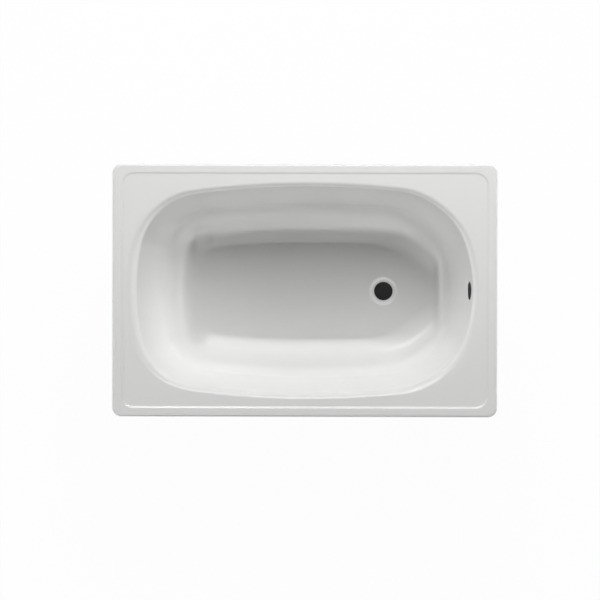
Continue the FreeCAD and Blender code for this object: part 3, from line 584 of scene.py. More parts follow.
def pressing_tree(names):
    """Tree that lays a grid of rings and columns on the pressing's show side."""
    tree, graph, size = new_tree("pressing", Float=names, Int=["Rings"], Material=["Enamel"])
    grid, row, column = swept_grid(graph, size("Rings"), 4 * QUARTER_COLUMNS + 1)
    read = row_reader(graph, size("Geometry"), row)
    in_quarter = column.maths("PINGPONG", QUARTER_COLUMNS)
    at_drain = column < 2 * QUARTER_COLUMNS + 0.5
    at_right = (column > QUARTER_COLUMNS) * (column < 3 * QUARTER_COLUMNS)
    cells = QUARTER_COLUMNS - in_quarter
    across, hole_depth, cell_ring = hole_place(size, cells, read("row"))
    by_hole = read("by_hole") * at_drain * (cells < NEAR_COLUMNS + 0.5)
    depth = blend(read("depth"), hole_depth, by_hole)
    from_end = blend(cells.between(0, NEAR_COLUMNS) * NEAR_SPACING, across, by_hole)
    (drain, head), part = bowl_place(size, depth, in_quarter, from_end)
    bowl_x = blend(head[0] * -1, drain[0], at_drain)
    bowl_y = blend(head[1], drain[1], at_drain)
    rim_x, rim_y = rim_place(size, in_quarter, read("inset"), read("corner"))
    left_right = 1 - at_right * 2
    end_sign = at_drain * 2 - 1
    dish_turn = (1 - in_quarter / QUARTER_COLUMNS) * QUARTER_TURN
    dish = read("dish")
    dish_x = size("drain_place") + dish * cosine(dish_turn) * end_sign
    dish_y = dish * sine(dish_turn)
    onto_rim = read("onto_rim")
    onto_dish = read("onto_dish")
    x = blend(blend(bowl_x, rim_x * end_sign, onto_rim), dish_x, onto_dish)
    y = blend(blend(bowl_y, rim_y, onto_rim), dish_y, onto_dish) * left_right
    deck = size("rim_height") - size("step_depth")
    slope = part * size("floor_fall") / size("drain_place")
    bowl_z = blend(deck - depth - slope * x, size("seat_height"), read("sink"))
    z = blend(bowl_z, size("rim_height") - read("drop"), onto_rim)
    shaped = put_points(graph, grid, x, y, z, by_hole * (cell_ring < HOLE_CELLS - 0.5))
    finish_tree(graph, shaped, size("Enamel"))
    return tree


class BATH_OT_pressing(bpy.types.Operator):
    """Make the enamelled pressing: rim, skirt, bowl, dished drain seat and both holes"""

    bl_idname = "bath.pressing"
    bl_label = "Pressing"

    def execute(self, context):
        sizes = context.scene.bath_pressing
        values = {name: getattr(sizes, name) for name in PressingSizes.__annotations__}
        values.update({end + "_lean": lean_of(sizes, end) for end in ("side", "head", "drain")})
        rings = pressing_rings(sizes)
        tree = pressing_tree(list(values))
        values.update({"Rings": len(rings), "Enamel": bpy.data.materials["enamel"]})
        source = points_object("enamelled_pressing", rings, RING_NUMBERS, ["enamel", "ground_coat"])
        item = run_tree(source, tree, values)
        sheet = item.modifiers.new("sheet", "SOLIDIFY")
        sheet.thickness = sizes.sheet
        sheet.offset = -1
        sheet.use_even_offset = True
        sheet.material_offset = 1
        edges = item.modifiers.new("cut edges", "BEVEL")
        edges.width = sizes.cut_edge
        edges.segments = 2
        edges.limit_method = "ANGLE"
        edges.angle_limit = math.radians(ROUNDED_FROM)
        made_real(item, PRESSING_CREASE)
        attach(item, "bath")
        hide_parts("bath_shell")
        return {"FINISHED"}


# Turned pieces: studs, bolts, nuts, washers, caps and soles

TURNED_NUMBERS = ("radius", "height", "flat", "threaded", "ribbed")
ROWS_PER_PITCH = 8
PLAIN_COLUMNS = 48
THREAD_COLUMNS = 24
COLUMNS_PER_RIB = 10
TURNED_CREASE = 35
# Section of a thread: slope of its flanks and width of its crest, and how narrow the ribs' grooves are
THREAD_SLOPE = 1.4
THREAD_FLAT = 0.2
RIB_SHARPNESS = 3
# Nuts and heads: radius of the flat face of a nut and of a head, as shares of the width across flats,
# rounding of a head's corners, bevel of a nut as a share of its corners, and the lead-in of a bore
NUT_FACE = 0.475
HEAD_FACE = 0.46
CORNER_SHARE = 0.995
NUT_BEVEL = 0.6
LEAD_IN = 0.0006
WASHER_EDGE = 0.0004
# Section of a foot's cap. Flange: distance in from its edge, height and share of the ribs' depth.
# Cone: radius, height and share of the ribs' depth. Neck: radius and distance below the top.
CAP_FLANGE = ((0.0012, 0, 0), (0.0003, 0.0003, 0), (0, 0.0012, 0), (0, 0.0032, 0), (0.0004, 0.0044, 0),
              (0.0014, 0.0051, 0), (0.0042, 0.0058, 0.2))
CAP_CONE = ((0.0166, 0.0108, 0.8), (0.0134, 0.0132, 0.8), (0.0124, 0.0155, 1), (0.0117, 0.0210, 1),
            (0.0112, 0.0265, 1), (0.0108, 0.0318, 0.6), (0.0107, 0.0330, 0))
CAP_NECK = ((0.0107, 0.0008), (0.0103, 0.0002), (0.0098, 0))
CAP_BORE_GAP = 0.0001
CAP_BORE_EDGE = 0.0008
CAP_BORE_FOOT = 0.0052
# Section of a sole: number of its grooves, half their widths, and its edges from the ground up
SOLE_GROOVES = 5
GROOVE_MOUTH = 0.0009
GROOVE_TOP = 0.0005
SOLE_EDGE = ((0.0008, 0), (0.0002, 0.0003), (0, 0.0009))
SOLE_TOP_EDGE = ((0, 0.0006), (0.0002, 0.0001), (0.0006, 0))
# Lug bolts and washers
BOLT_RADIUS = 0.004
BOLT_FLATS = 0.013
BOLT_BEVEL = 0.0009
BOLT_WASHER = 0.016
STUD_WASHER = 0.024
STUD_WASHER_BORE = 0.0065
# Earthing screw
SCREW_RADIUS = 0.003
SCREW_FLATS = 0.010
SCREW_BEVEL = 0.0008


def turned_tree():
    """Tree that turns a profile about an axis, with flats, a thread or ribs, and repeats the piece."""
    tree, graph, size = new_tree(
        "turned_piece", Int=["Rows", "Columns", "Ribs", "Copies X", "Copies Y"],
        Float=["Across flats", "Pitch", "Thread depth", "Rib depth", "Spacing X", "Spacing Y"],
        Vector=["Place"], Rotation=["Turn"], Material=["Finish"])
    grid, row, column = swept_grid(graph, size("Rows"), size("Columns") + 1)
    read = row_reader(graph, size("Geometry"), row)
    round_share = column / size("Columns")
    turn = round_share * FULL_TURN
    radius = read("radius")
    height = read("height")
    sixth = QUARTER_TURN / 3
    to_flat = (turn + sixth).maths("PINGPONG", sixth)
    hexagon = radius.maths("MINIMUM", size("Across flats") / 2 / cosine(to_flat))
    radius = blend(radius, hexagon, read("flat"))
    phase = (height / size("Pitch") - round_share).maths("FRACT")
    groove = ((1 - abs(phase * 2 - 1)) * THREAD_SLOPE - THREAD_FLAT).between(0, 1)
    radius = radius - read("threaded") * size("Thread depth") * groove
    ribs = (0.5 - cosine(turn * size("Ribs")) * 0.5) ** RIB_SHARPNESS
    radius = radius - read("ribbed") * size("Rib depth") * ribs
    piece = put_points(graph, grid, radius * cosine(turn), radius * sine(turn), height)
    places = graph.add("GeometryNodeMeshGrid", {
        "Size X": size("Spacing X"), "Size Y": size("Spacing Y"), "Vertices X": size("Copies X"),
        "Vertices Y": size("Copies Y")})
    copies = graph.add("GeometryNodeInstanceOnPoints",
                       {"Points": places, "Instance": piece, "Rotation": size("Turn")})
    moved = graph.add("GeometryNodeTransform", {"Geometry": copies, "Translation": size("Place")})
    finish_tree(graph, moved, size("Finish"))
    return tree


def profile(*points, flat=0, ribbed=0):
    """Rows of a turned piece from pairs of radius and height."""
    return [(radius, height, flat, 0, ribbed) for radius, height in points]


def threaded(radius, low, high, pitch):
    """Rows of a threaded length, its thread fading in and out over a turn."""
    rows = []
    for part in shares(max(2, round((high - low) / pitch * ROWS_PER_PITCH))):
        height = blend(low, high, part)
        fade = min(1, (height - low) / pitch, (high - height) / pitch)
        rows.append((radius, height, 0, max(0, fade), 0))
    return rows


def bevelled(face, corner, height, rise):
    """Rows round a hexagon's bevelled corners, from its face at a height out to the flats."""
    return profile(*[(blend(face, corner, part), height + rise * part) for part in shares(4)], flat=1)


def turned(name, rows, body, nodes, slot, columns=PLAIN_COLUMNS, place=(0, 0, 0), **values):
    """Turned piece that stands for CAD nodes and rides on their body."""
    tree = bpy.data.node_groups.get("turned_piece") or turned_tree()
    settings = {"Rows": len(rows), "Columns": columns, "Across flats": 1.0, "Pitch": 1.0,
                "Thread depth": 0.0, "Ribs": 0, "Rib depth": 0.0, "Copies X": 1, "Copies Y": 1,
                "Spacing X": 0.0, "Spacing Y": 0.0, "Place": place, "Turn": (0, 0, 0),
                "Finish": bpy.data.materials[slot]}
    settings.update({key.replace("_", " ").capitalize().replace(" x", " X").replace(" y", " Y"): given
                     for key, given in values.items()})
    item = run_tree(points_object(name, rows, TURNED_NUMBERS, [slot]), tree, settings)
    made_real(item, TURNED_CREASE)
    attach(item, body)
    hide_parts(*nodes)


def nut_rows(flats, corner, bore, low, high, bevel):
    """Closed profile of a nut with bevelled corners and a lead-in at each end of its bore."""
    face = flats * NUT_FACE
    rows = profile((bore, low + LEAD_IN), (bore + LEAD_IN, low), (face, low))
    rows += bevelled(face, corner, low, bevel)
    rows += bevelled(face, corner, high, -bevel)[::-1]
    rows += profile((face, high), (bore + LEAD_IN, high), (bore, high - LEAD_IN), (bore, low + LEAD_IN))
    return rows


def washer_rows(radius, bore, low, high):
    """Closed profile of a washer with softened edges, as stamped."""
    soft = min(WASHER_EDGE, (high - low) / 4)
    return profile((bore, low + soft), (bore + soft, low), (radius - soft, low), (radius, low + soft),
                   (radius, high - soft), (radius - soft, high), (bore + soft, high), (bore, high - soft),
                   (bore, low + soft))


def corner_of(flats):
    """Radius of a hexagon's corners, a little rounded."""
    return flats / 2 / math.cos(QUARTER_TURN / 3) * CORNER_SHARE


def node_place(node):
    """Middle of a node seen from above, with its lowest and highest corners."""
    low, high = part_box(node)
    middle = (low + high) / 2
    return Vector((middle.x, middle.y, 0)), low, high


def at_four(node, wide):
    """Settings that put a piece of a width at the corners of the box round a node's four solids."""
    place, low, high = node_place(node)
    return {"copies_x": 2, "copies_y": 2, "spacing_x": high.x - low.x - wide,
            "spacing_y": high.y - low.y - wide, "place": place}


class BATH_OT_feet(bpy.types.Operator):
    """Make the four feet: threaded studs, nuts, ribbed caps and grooved soles"""

    bl_idname = "bath.feet"
    bl_label = "Feet"

    def execute(self, context):
        for tag in CORNERS:
            self.foot(context.scene.bath_fixings, tag)
        return {"FINISHED"}

    def foot(self, fixing, tag):
        place, low, high = node_place(tag + "_stud")
        radius = (high.x - low.x) / 2
        depth = fixing.stud_pitch * fixing.thread_share
        rows = profile((0, low.z), (radius - depth, low.z))
        rows += threaded(radius, low.z + depth, high.z - depth, fixing.stud_pitch)
        rows += profile((radius - depth, high.z), (0, high.z))
        turned("threaded_stud_" + tag, rows, tag + "_foot", [tag + "_stud"], "zinc_steel",
               columns=THREAD_COLUMNS, place=place, pitch=fixing.stud_pitch, thread_depth=depth)
        self.nut(tag, "adjusting_nut", "adjuster", radius + fixing.thread_clearance)
        self.nut(tag, "lock_nut", "locker", radius + fixing.thread_clearance)
        self.cap(fixing, tag, place, radius)
        self.sole(fixing, tag, place)

    def nut(self, tag, kind, body, bore):
        node = f"{tag}_{kind}"
        place, low, high = node_place(node)
        flats = high.y - low.y
        corner = (high.x - low.x) / 2
        rows = nut_rows(flats, corner, bore, low.z, high.z, (corner - flats / 2) * NUT_BEVEL)
        turned(f"{kind}_{tag}", rows, f"{tag}_{body}", [node], "zinc_steel", place=place, across_flats=flats)

    def cap(self, fixing, tag, place, bore):
        low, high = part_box(tag + "_foot_cap")
        wide = (high.x - low.x) / 2
        base = low.z
        inside = bore + CAP_BORE_GAP
        rows = profile((0, base))
        rows += [(wide - inward, base + height, 0, 0, ribs) for inward, height, ribs in CAP_FLANGE]
        rows += [(radius, base + height, 0, 0, ribs) for radius, height, ribs in CAP_CONE]
        rows += profile(*[(radius, high.z - below) for radius, below in CAP_NECK])
        rows += profile((bore + CAP_BORE_EDGE, high.z), (inside, high.z - CAP_BORE_EDGE),
                        (inside, base + CAP_BORE_FOOT), (0, base + CAP_BORE_FOOT))
        turned("ribbed_cap_" + tag, rows, tag + "_foot", [tag + "_foot_cap"], "black_plastic", place=place,
               columns=fixing.cap_ribs * COLUMNS_PER_RIB, ribs=fixing.cap_ribs, rib_depth=fixing.rib_depth)

    def sole(self, fixing, tag, place):
        low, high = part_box(tag + "_foot_sole")
        wide = (high.x - low.x) / 2
        points = [(0, 0)]
        for part in shares(SOLE_GROOVES + 1)[1:-1]:
            middle = wide * part
            points += [(middle - GROOVE_MOUTH, 0), (middle - GROOVE_TOP, fixing.tread_depth),
                       (middle + GROOVE_TOP, fixing.tread_depth), (middle + GROOVE_MOUTH, 0)]
        points += [(wide - inward, height) for inward, height in SOLE_EDGE]
        points += [(wide - inward, high.z - below) for inward, below in SOLE_TOP_EDGE]
        turned("grooved_sole_" + tag, profile(*points, (0, high.z)), tag + "_foot", [tag + "_foot_sole"],
               "rubber", place=place)


class BATH_OT_fasteners(bpy.types.Operator):
    """Make the lug bolts with their nuts and washers, and the washers of the feet"""

    bl_idname = "bath.fasteners"
    bl_label = "Fasteners"

    def execute(self, context):
        fixing = context.scene.bath_fixings
        fours = at_four("leg_bolt_washers", BOLT_WASHER)
        low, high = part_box("leg_bolt_washers")
        under_head = low.z
        turned("bolt_washers", washer_rows(BOLT_WASHER / 2, BOLT_RADIUS + 0.0003, low.z, high.z), "bath",
               ["leg_bolt_washers"], "zinc_steel", **fours)
        low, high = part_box("leg_bolts")
        corner = corner_of(BOLT_FLATS)
        face = BOLT_FLATS * HEAD_FACE
        rows = profile((0, low.z + 0.0004), (BOLT_RADIUS, low.z + 0.0004), (BOLT_RADIUS + 0.0003, low.z),
                       (face, low.z))
        rows += bevelled(face, corner, low.z, BOLT_BEVEL)
        rows += profile((corner, under_head - 0.0002), (corner - 0.0002, under_head), flat=1)
        rows += profile((BOLT_RADIUS, under_head))
        rows += threaded(BOLT_RADIUS, under_head + 0.0006, high.z - 0.0008, fixing.bolt_pitch)
        rows += profile((BOLT_RADIUS - 0.0008, high.z), (0, high.z))
        turned("lug_bolts", rows, "bath", ["leg_bolts"], "zinc_steel", pitch=fixing.bolt_pitch,
               thread_depth=fixing.bolt_pitch * fixing.thread_share, **fours)
        low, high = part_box("lug_weld_nuts")
        rows = nut_rows(BOLT_FLATS, corner, BOLT_RADIUS + 0.0001, low.z, high.z, BOLT_BEVEL)
        turned("weld_nuts", rows, "bath", ["lug_weld_nuts"], "ground_coat", across_flats=BOLT_FLATS, **fours)
        for node in ("upper_stud_washers", "lower_stud_washers"):
            low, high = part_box(node)
            turned("bar_" + node, washer_rows(STUD_WASHER / 2, STUD_WASHER_BORE, low.z, high.z), "bath", [node],
                   "zinc_steel", **at_four(node, STUD_WASHER))
        return {"FINISHED"}


class BATH_OT_earthing(bpy.types.Operator):
    """Make the earthing screw with its washer and nut"""

    bl_idname = "bath.earthing"
    bl_label = "Earthing screw"

    def execute(self, context):
        fixing = context.scene.bath_fixings
        low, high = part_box("earthing_screw")
        place = Vector((0, (low.y + high.y) / 2, (low.z + high.z) / 2))
        lying = {"turn": (0, QUARTER_TURN, 0), "place": place}
        corner = corner_of(SCREW_FLATS)
        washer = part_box("earthing_washer")
        head = washer[1].x
        rows = profile((0, low.x), (SCREW_RADIUS - 0.0005, low.x))
        rows += threaded(SCREW_RADIUS, low.x + 0.0005, head, fixing.screw_pitch)
        rows += profile((corner - 0.0002, head), (corner, head + 0.0002), flat=1)
        rows += bevelled(SCREW_FLATS * HEAD_FACE, corner, high.x, -SCREW_BEVEL)[::-1]
        rows += profile((SCREW_FLATS * 0.32, high.x), (SCREW_FLATS * 0.29, high.x - 0.0003),
                        (0, high.x - 0.0003))
        turned("earthing_screw_turned", rows, "bath", ["earthing_screw"], "zinc_steel",
               across_flats=SCREW_FLATS, pitch=fixing.screw_pitch,
               thread_depth=fixing.screw_pitch * fixing.thread_share, **lying)
        rows = washer_rows((washer[1].y - washer[0].y) / 2, SCREW_RADIUS + 0.0002, washer[0].x, washer[1].x)
        turned("earthing_washer_turned", rows, "bath", ["earthing_washer"], "zinc_steel", **lying)
        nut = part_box("earthing_nut")
        rows = nut_rows(SCREW_FLATS, corner, SCREW_RADIUS + 0.0001, nut[0].x, nut[1].x, SCREW_BEVEL)
        turned("earthing_nut_turned", rows, "bath", ["earthing_nut"], "zinc_steel",
               across_flats=SCREW_FLATS, **lying)
        return {"FINISHED"}


# Welds

# Length of a flange's edge left bare at each end of a bead, and the bead's middle below the sheet
WELD_MARGIN = 0.004
WELD_SINK = 0.0006
WELD_CREASE = 60
# Least radius of a bead between two ripples, as a share of the largest
RIPPLE_LOW = 0.82


def weld_tree():
    """Tree that lays a rippled weld bead along each edge of the source."""
    tree, graph, size = new_tree("weld_bead", Float=["Radius", "Ripple"], Material=["Finish"])
    curve = graph.add("GeometryNodeMeshToCurve", {"Mesh": size("Geometry")})
    even = graph.add("GeometryNodeResampleCurve", {"Curve": curve, "Length": size("Ripple") / 4},
                     mode="LENGTH")
    length_on = graph.add("GeometryNodeSplineParameter").also("Length")
    ripple = (length_on / size("Ripple")).maths("FRACT")
    radius = size("Radius") * (RIPPLE_LOW + ripple * (1 - RIPPLE_LOW))
    swollen = graph.add("GeometryNodeSetCurveRadius", {"Curve": even, "Radius": radius})
    section = graph.add("GeometryNodeCurvePrimitiveCircle", {"Resolution": 12, "Radius": 1.0})
    bead = graph.add("GeometryNodeCurveToMesh", {"Curve": swollen, "Profile Curve": section,
                                                 "Scale": radius, "Fill Caps": True})
    finish_tree(graph, bead, size("Finish"))
    return tree


class BATH_OT_welds(bpy.types.Operator):
    """Lay the weld beads along the flanges of the lugs and the earthing tab"""

    bl_idname = "bath.welds"
    bl_label = "Welds"

    def execute(self, context):
        fixing = context.scene.bath_fixings
        pressing = context.scene.bath_pressing
        fall = pressing.floor_fall / pressing.drain_place
        points = []
        for tag in CORNERS:
            low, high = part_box(tag + "_lug")
            for x in (low.x, high.x):
                level = high.z - (x - low.x) * fall - WELD_SINK
                points += [(x, low.y + WELD_MARGIN, level), (x, high.y - WELD_MARGIN, level)]
        low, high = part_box("earthing_tab")
        level = high.z - WELD_SINK
        points += [(low.x, low.y + WELD_MARGIN / 2, level), (low.x, high.y - WELD_MARGIN / 2, level)]
        item = points_object("weld_beads", [()] * len(points), (), ["ground_coat"])
        item.data.edges.add(len(points) // 2)
        item.data.vertices.foreach_set("co", [part for point in points for part in point])
        item.data.edges.foreach_set("vertices", range(len(points)))
        run_tree(item, weld_tree(), {"Radius": fixing.weld_radius, "Ripple": fixing.weld_ripple,
                                     "Finish": bpy.data.materials["ground_coat"]})
        made_real(item, WELD_CREASE)
        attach(item, "bath")
        return {"FINISHED"}


# Finishes


class Finish(Graph):
    """Material under construction."""

    def __init__(self, name, tone, **constants):
        self.material = bpy.data.materials.new(name)
        self.material.use_nodes = True
        super().__init__(self.material.node_tree)
        self.tree.nodes.clear()
        self.shader = self.add("ShaderNodeBsdfPrincipled")
        self.output = self.add("ShaderNodeOutputMaterial", {"Surface": self.shader})
        self.inputs = self.shader.socket.node.inputs
        self.tone = (*tone, 1)
        self.inputs["Base Color"].default_value = self.tone
        self.material.diffuse_color = self.tone
        for socket, amount in constants.items():
            self.inputs[socket].default_value = amount
        self.place = self.add("ShaderNodeTexCoord").also("Object")

    def noise(self, scale, detail=2.0, roughness=0.5):
        return self.add("ShaderNodeTexNoise", {"Vector": self.place, "Scale": scale, "Detail": detail,
                                               "Roughness": roughness})

    def cells(self, scale):
        return self.add("ShaderNodeTexVoronoi", {"Vector": self.place, "Scale": scale})

    def mixed(self, mask, low, high):
        return self.add("ShaderNodeMix", {0: mask, 6: low, 7: high}, output=2, data_type="RGBA")

    def feed(self, socket, value):
        self.tree.links.new(value.socket, self.inputs[socket])

    def bump(self, height, distance):
        self.feed("Normal", self.add("ShaderNodeBump", {"Height": height, "Distance": distance}))

    def shade(self, factor):
        """The finish's own colour, darker or lighter by a factor."""
        return tuple(min(1, part * factor) for part in self.tone[:3]) + (1,)


def enamel_finish(tone):
    """Fired white enamel: glossy, with the faint orange peel and clouding of a sprayed coat."""
    finish = Finish("enamel", tone, IOR=1.52)
    peel = finish.noise(140, 1.0)
    swell = finish.noise(9, 2.0)
    cloud = finish.noise(5, 3.0)
    finish.feed("Base Color", finish.mixed(cloud, finish.shade(0.985), finish.shade(1.01)))
    finish.feed("Roughness", 0.02 + finish.noise(60, 2.0) * 0.015)
    finish.bump(peel * 0.12 + swell, 0.00025)


def ground_finish(tone):
    """Dark ground coat with pale specks, rougher than the show side."""
    finish = Finish("ground_coat", tone, IOR=1.5)
    specks = finish.cells(420) < 0.16
    patches = finish.noise(26, 4.0)
    speckled = finish.mixed(specks * (patches > 0.45), finish.shade(1), (0.42, 0.43, 0.45, 1))
    finish.feed("Base Color", finish.mixed(patches * 0.5, speckled, finish.shade(1.6)))
    finish.feed("Roughness", 0.34 + finish.noise(90, 3.0) * 0.25)
    finish.bump(finish.noise(300, 3.0), 0.0002)


def zinc_finish(tone):
    """Bright zinc plating with faint drawing lines and cloudy passivation."""
    finish = Finish("zinc_steel", tone, Metallic=1.0)
    cloud = finish.noise(30, 3.0)
    warm = tuple(part * tint for part, tint in zip(tone, (1.04, 1.0, 0.90))) + (1,)
    finish.feed("Base Color", finish.mixed(cloud.between(0.3, 0.7), finish.shade(0.86), warm))
    lines = finish.add("ShaderNodeTexWave", {"Vector": finish.place, "Scale": 180.0, "Distortion": 6.0,
                                             "Detail": 3.0}, bands_direction="Z")
    finish.feed("Roughness", 0.26 + finish.noise(120, 4.0) * 0.22 + lines * 0.04)
    finish.bump(finish.noise(700, 2.0) + lines * 0.3, 0.00006)


def plastic_finish(tone):
    """Black moulded polypropylene with a fine spark-eroded grain."""
    finish = Finish("black_plastic", tone, IOR=1.49)
    finish.feed("Base Color", finish.mixed(finish.noise(60, 3.0), finish.shade(0.8), finish.shade(1.5)))
    finish.feed("Roughness", 0.42 + finish.noise(250, 3.0) * 0.2)
    finish.bump(finish.cells(1500), 0.00008)


def rubber_finish(tone):
    """Matt black rubber with a dusty bloom."""
    finish = Finish("rubber", tone, IOR=1.5)
    bloom = finish.noise(70, 5.0, 0.65)
    finish.feed("Base Color", finish.mixed(bloom.between(0.45, 0.8), finish.shade(0.8), finish.shade(2.2)))
    finish.feed("Roughness", 0.68 + bloom * 0.2)
    finish.bump(finish.noise(900, 3.0), 0.00008)


def bitumen_finish(tone):
    """Damping mat with an embossed lozenge pattern and a gritty face."""
    finish = Finish("bitumen", tone, IOR=1.45)
    split = finish.add("ShaderNodeSeparateXYZ", {"Vector": finish.place})
    x = split.also("X")
    y = split.also("Y") + split.also("Z")
    spacing = 0.009
    one = abs(((x + y) / spacing).maths("FRACT") * 2 - 1)
    two = abs(((x - y) / spacing).maths("FRACT") * 2 - 1)
    ridge = 1 - one.maths("MINIMUM", two).between(0, 0.3) / 0.3
    grit = finish.noise(500, 4.0)
    finish.feed("Base Color", finish.mixed(ridge * 0.5 + grit * 0.3, finish.shade(0.8), finish.shade(2)))
    finish.feed("Roughness", 0.7 + grit * 0.2)
    finish.bump(ridge + grit * 0.3, 0.0006)


MAKERS = {"enamel": enamel_finish, "ground_coat": ground_finish, "zinc": zinc_finish,
          "plastic": plastic_finish, "rubber": rubber_finish, "bitumen": bitumen_finish}
# Finish of a CAD node by the last word of its name, where that isn't zinc
KINDS = {"mat": "bitumen", "pad": "rubber", "sole": "rubber", "cap": "black_plastic", "lug": "ground_coat",
         "tab": "ground_coat", "shell": "enamel"}


def finish_of(node):
    """Finish of a CAD node, from what its name says it is."""
    if node == "lug_weld_nuts":
        return "ground_coat"
    return KINDS.get(node.split("_")[-1], "zinc_steel")


class BATH_OT_finishes(bpy.types.Operator):
    """Make the finishes and put them on the CAD pieces that keep their own shape"""

    bl_idname = "bath.finishes"
    bl_label = "Finishes"

    def execute(self, context):
        for name, make_finish in MAKERS.items():
            make_finish(getattr(context.scene.bath_finishes, name))
        for name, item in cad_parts.items():
            item.data.materials.clear()
            item.data.materials.append(bpy.data.materials[finish_of(name)])
        return {"FINISHED"}


# Studio

FLOOR_REACH = 40.0
FLOOR_ROUGHNESS = 0.9
CAMERA_REACH = 100.0
# Painted shade under the bath: the dark tone painted on the floor there, and the share of the bath's half size
# where that painted shade starts to fade
PAINTED_SHADE_TONE = 0.05
PAINTED_SHADE_CORE = 0.5
# From the bath's end to the overflow hole seen from above, and the radius of the painted shade below the holes
# that stays dark and the width over which it fades
OVERFLOW_INSET = 0.055
PAINTED_HOLE_SHADE = 0.022
PAINTED_HOLE_FADE = 0.05
# Share of white that the camera sees on the floor; the rest still shows a shadow
GLOW_SHARE = 0.97
LAMP_TARGET = Vector((0, 0, 0.35))
# Lamps: name, size that holds its power, width, height, bearing from +X and elevation in degrees,
# distance, whether reflections show it, and whether it lights the bath
LAMPS = (
    ("north_lamp", "key_power", 1.4, 1.7, 84, 51, 3.2, False, True),
    ("strip_lamp", "strip_power", 1.35, 0.9, 110, 38, 3.2, True, True),
    ("south_card", "card_power", 8.0, 3.0, 270, 56, 5.2, True, False),
    ("south_lamp", "fill_power", 1.4, 1.2, 235, 30, 3.2, False, True),
    ("east_lamp", "east_power", 1.6, 0.8, 0, 25, 3.2, False, True),
    ("west_lamp", "west_power", 1.6, 0.8, 180, 20, 3.2, False, True),
)


def studio_floor(tone):
    """Pale floor that the camera sees white round the bath, with a dark painted shade under it that the holes
    show.
    """
    mesh = bpy.data.meshes.new("studio_floor")
    reach = FLOOR_REACH
    mesh.from_pydata([(-reach, -reach, 0), (reach, -reach, 0), (reach, reach, 0), (-reach, reach, 0)], [],
                     [(0, 1, 2, 3)])
    item = bpy.data.objects.new("studio_floor", mesh)
    bpy.context.scene.collection.objects.link(item)
    finish = Finish("studio_floor", (tone, tone, tone), Roughness=FLOOR_ROUGHNESS)
    split = finish.add("ShaderNodeSeparateXYZ", {"Vector": finish.place})
    x = split.also("X")
    y = split.also("Y")
    high = cad_box[1]
    # Painted shade: the floor's colour fades to a dark tone under the bath, standing in for its deep shade
    from_middle = ((x / high.x) ** 4 + (y / high.y) ** 4) ** 0.25
    outside_painted_shade = ((from_middle - PAINTED_SHADE_CORE) / (1 - PAINTED_SHADE_CORE)).between(0, 1)
    # Painted shade: a dark strip on the floor below the drain and overflow holes, so that the holes look dark
    past = (x - (high.x - OVERFLOW_INSET)).maths("MAXIMUM", 0 - x).maths("MAXIMUM", 0)
    from_painted_hole_shade = (past ** 2 + y ** 2) ** 0.5
    outside_painted_shade = outside_painted_shade * ((from_painted_hole_shade - PAINTED_HOLE_SHADE) / PAINTED_HOLE_FADE).between(0, 1)
    unshaded_floor = finish.mixed(finish.noise(6, 3.0), finish.shade(0.99), finish.shade(1.01))
    # Painted shade: the floor's colour is dark under the bath and below the holes, and the camera's white is
    # kept off it there
    finish.feed("Base Color", finish.mixed(outside_painted_shade, (PAINTED_SHADE_TONE, PAINTED_SHADE_TONE, PAINTED_SHADE_TONE, 1), unshaded_floor))
    rays = finish.add("ShaderNodeLightPath")
    seen = rays.also("Is Camera Ray").maths("MAXIMUM", rays.also("Is Glossy Ray"))
    seen = seen.maths("MAXIMUM", rays.also("Is Transmission Ray"))
    glow = finish.add("ShaderNodeEmission", {"Color": (1, 1, 1, 1), "Strength": 1.0})
    mix = finish.add("ShaderNodeMixShader", {0: seen * outside_painted_shade * GLOW_SHARE, 1: finish.shader, 2: glow})
    finish.tree.links.new(mix.socket, finish.output.inputs["Surface"])
    mesh.materials.append(finish.material)


def studio_world(strength):
    """Even light from all round, white where the camera sees it, also through something clear.

    A reflection sees only the even light: a white sky in it would lighten all of the enamel."""
    world = bpy.data.worlds.new("studio")
    bpy.context.scene.world = world
    world.use_nodes = True
    world.node_tree.nodes.clear()
    graph = Graph(world.node_tree)
    rays = graph.add("ShaderNodeLightPath")
    seen = rays.also("Is Camera Ray").maths("MAXIMUM", rays.also("Is Transmission Ray"))
    sky = graph.add("ShaderNodeBackground", {"Color": (1, 1, 1, 1), "Strength": blend(strength, 1, seen)})
    graph.add("ShaderNodeOutputWorld", {"Surface": sky})


def lamp(name, power, width, height, bearing, elevation, distance, mirrored, lighting):
    """Soft rectangular lamp aimed at the bath, placed by its bearing from +X and its elevation."""
    light = bpy.data.lights.new(name, "AREA")
    light.shape = "RECTANGLE"
    light.size = width
    light.size_y = height
    light.energy = power
    item = bpy.data.objects.new(name, light)
    bpy.context.scene.collection.objects.link(item)
    bearing = math.radians(bearing)
    elevation = math.radians(elevation)
    away = Vector((math.cos(elevation) * math.cos(bearing), math.cos(elevation) * math.sin(bearing),
                   math.sin(elevation)))
    item.location = LAMP_TARGET + away * distance
    item.rotation_euler = (-away).to_track_quat("-Z", "Y").to_euler()
    item.visible_camera = False
    item.visible_glossy = mirrored
    item.visible_diffuse = lighting


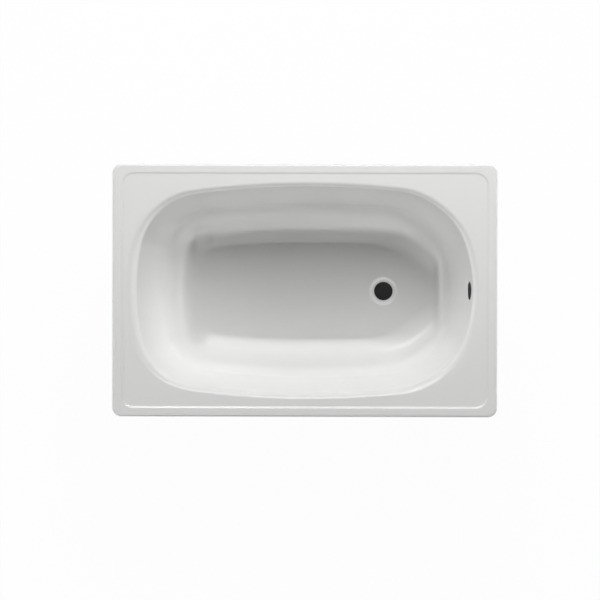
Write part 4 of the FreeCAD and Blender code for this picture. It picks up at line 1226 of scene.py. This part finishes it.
class BATH_OT_studio(bpy.types.Operator):
    """Set up the floor, the lamps and the camera"""

    bl_idname = "bath.studio"
    bl_label = "Studio"

    def execute(self, context):
        studio = context.scene.bath_studio
        scene = context.scene
        studio_floor(studio.floor_tone)
        studio_world(studio.sky)
        for name, size, *given in LAMPS:
            lamp(name, getattr(studio, size), *given)
        view = bpy.data.cameras.new("camera")
        view.lens = studio.lens
        view.clip_end = CAMERA_REACH
        camera = bpy.data.objects.new("camera", view)
        scene.collection.objects.link(camera)
        camera.location = (studio.camera_x, studio.camera_y, studio.camera_height)
        camera.rotation_euler = (studio.camera_pitch, studio.camera_roll, studio.camera_turn)
        scene.camera = camera
        scene.view_settings.view_transform = "Standard"
        return {"FINISHED"}


class BATH_PT_panel(bpy.types.Panel):
    """The bath's steps and sizes in the sidebar of the 3D view."""

    bl_label = "Bath"
    bl_idname = "BATH_PT_panel"
    bl_space_type = "VIEW_3D"
    bl_region_type = "UI"
    bl_category = "Bath"

    def draw(self, context):
        for step in STEPS:
            self.layout.operator(step.bl_idname)
        for name, group in GROUPS.items():
            box = self.layout.box()
            for size in group.__annotations__:
                box.prop(getattr(context.scene, name), size)


GROUPS = {"bath_pressing": PressingSizes, "bath_fixings": FixingSizes, "bath_finishes": Finishes,
          "bath_studio": StudioSizes}
STEPS = (BATH_OT_finishes, BATH_OT_pressing, BATH_OT_feet, BATH_OT_fasteners, BATH_OT_earthing,
         BATH_OT_welds, BATH_OT_studio)
CLASSES = (*GROUPS.values(), *STEPS, BATH_PT_panel)


def register():
    for kind in CLASSES:
        bpy.utils.register_class(kind)
    for name, group in GROUPS.items():
        setattr(bpy.types.Scene, name, PointerProperty(type=group))


def unregister():
    for name in GROUPS:
        delattr(bpy.types.Scene, name)
    for kind in reversed(CLASSES):
        bpy.utils.unregister_class(kind)


def main():
    register()
    bpy.ops.bath.finishes()
    bpy.ops.bath.pressing()
    bpy.ops.bath.feet()
    bpy.ops.bath.fasteners()
    bpy.ops.bath.earthing()
    bpy.ops.bath.welds()
    bpy.ops.bath.studio()


if __name__ == "__main__":
    main()
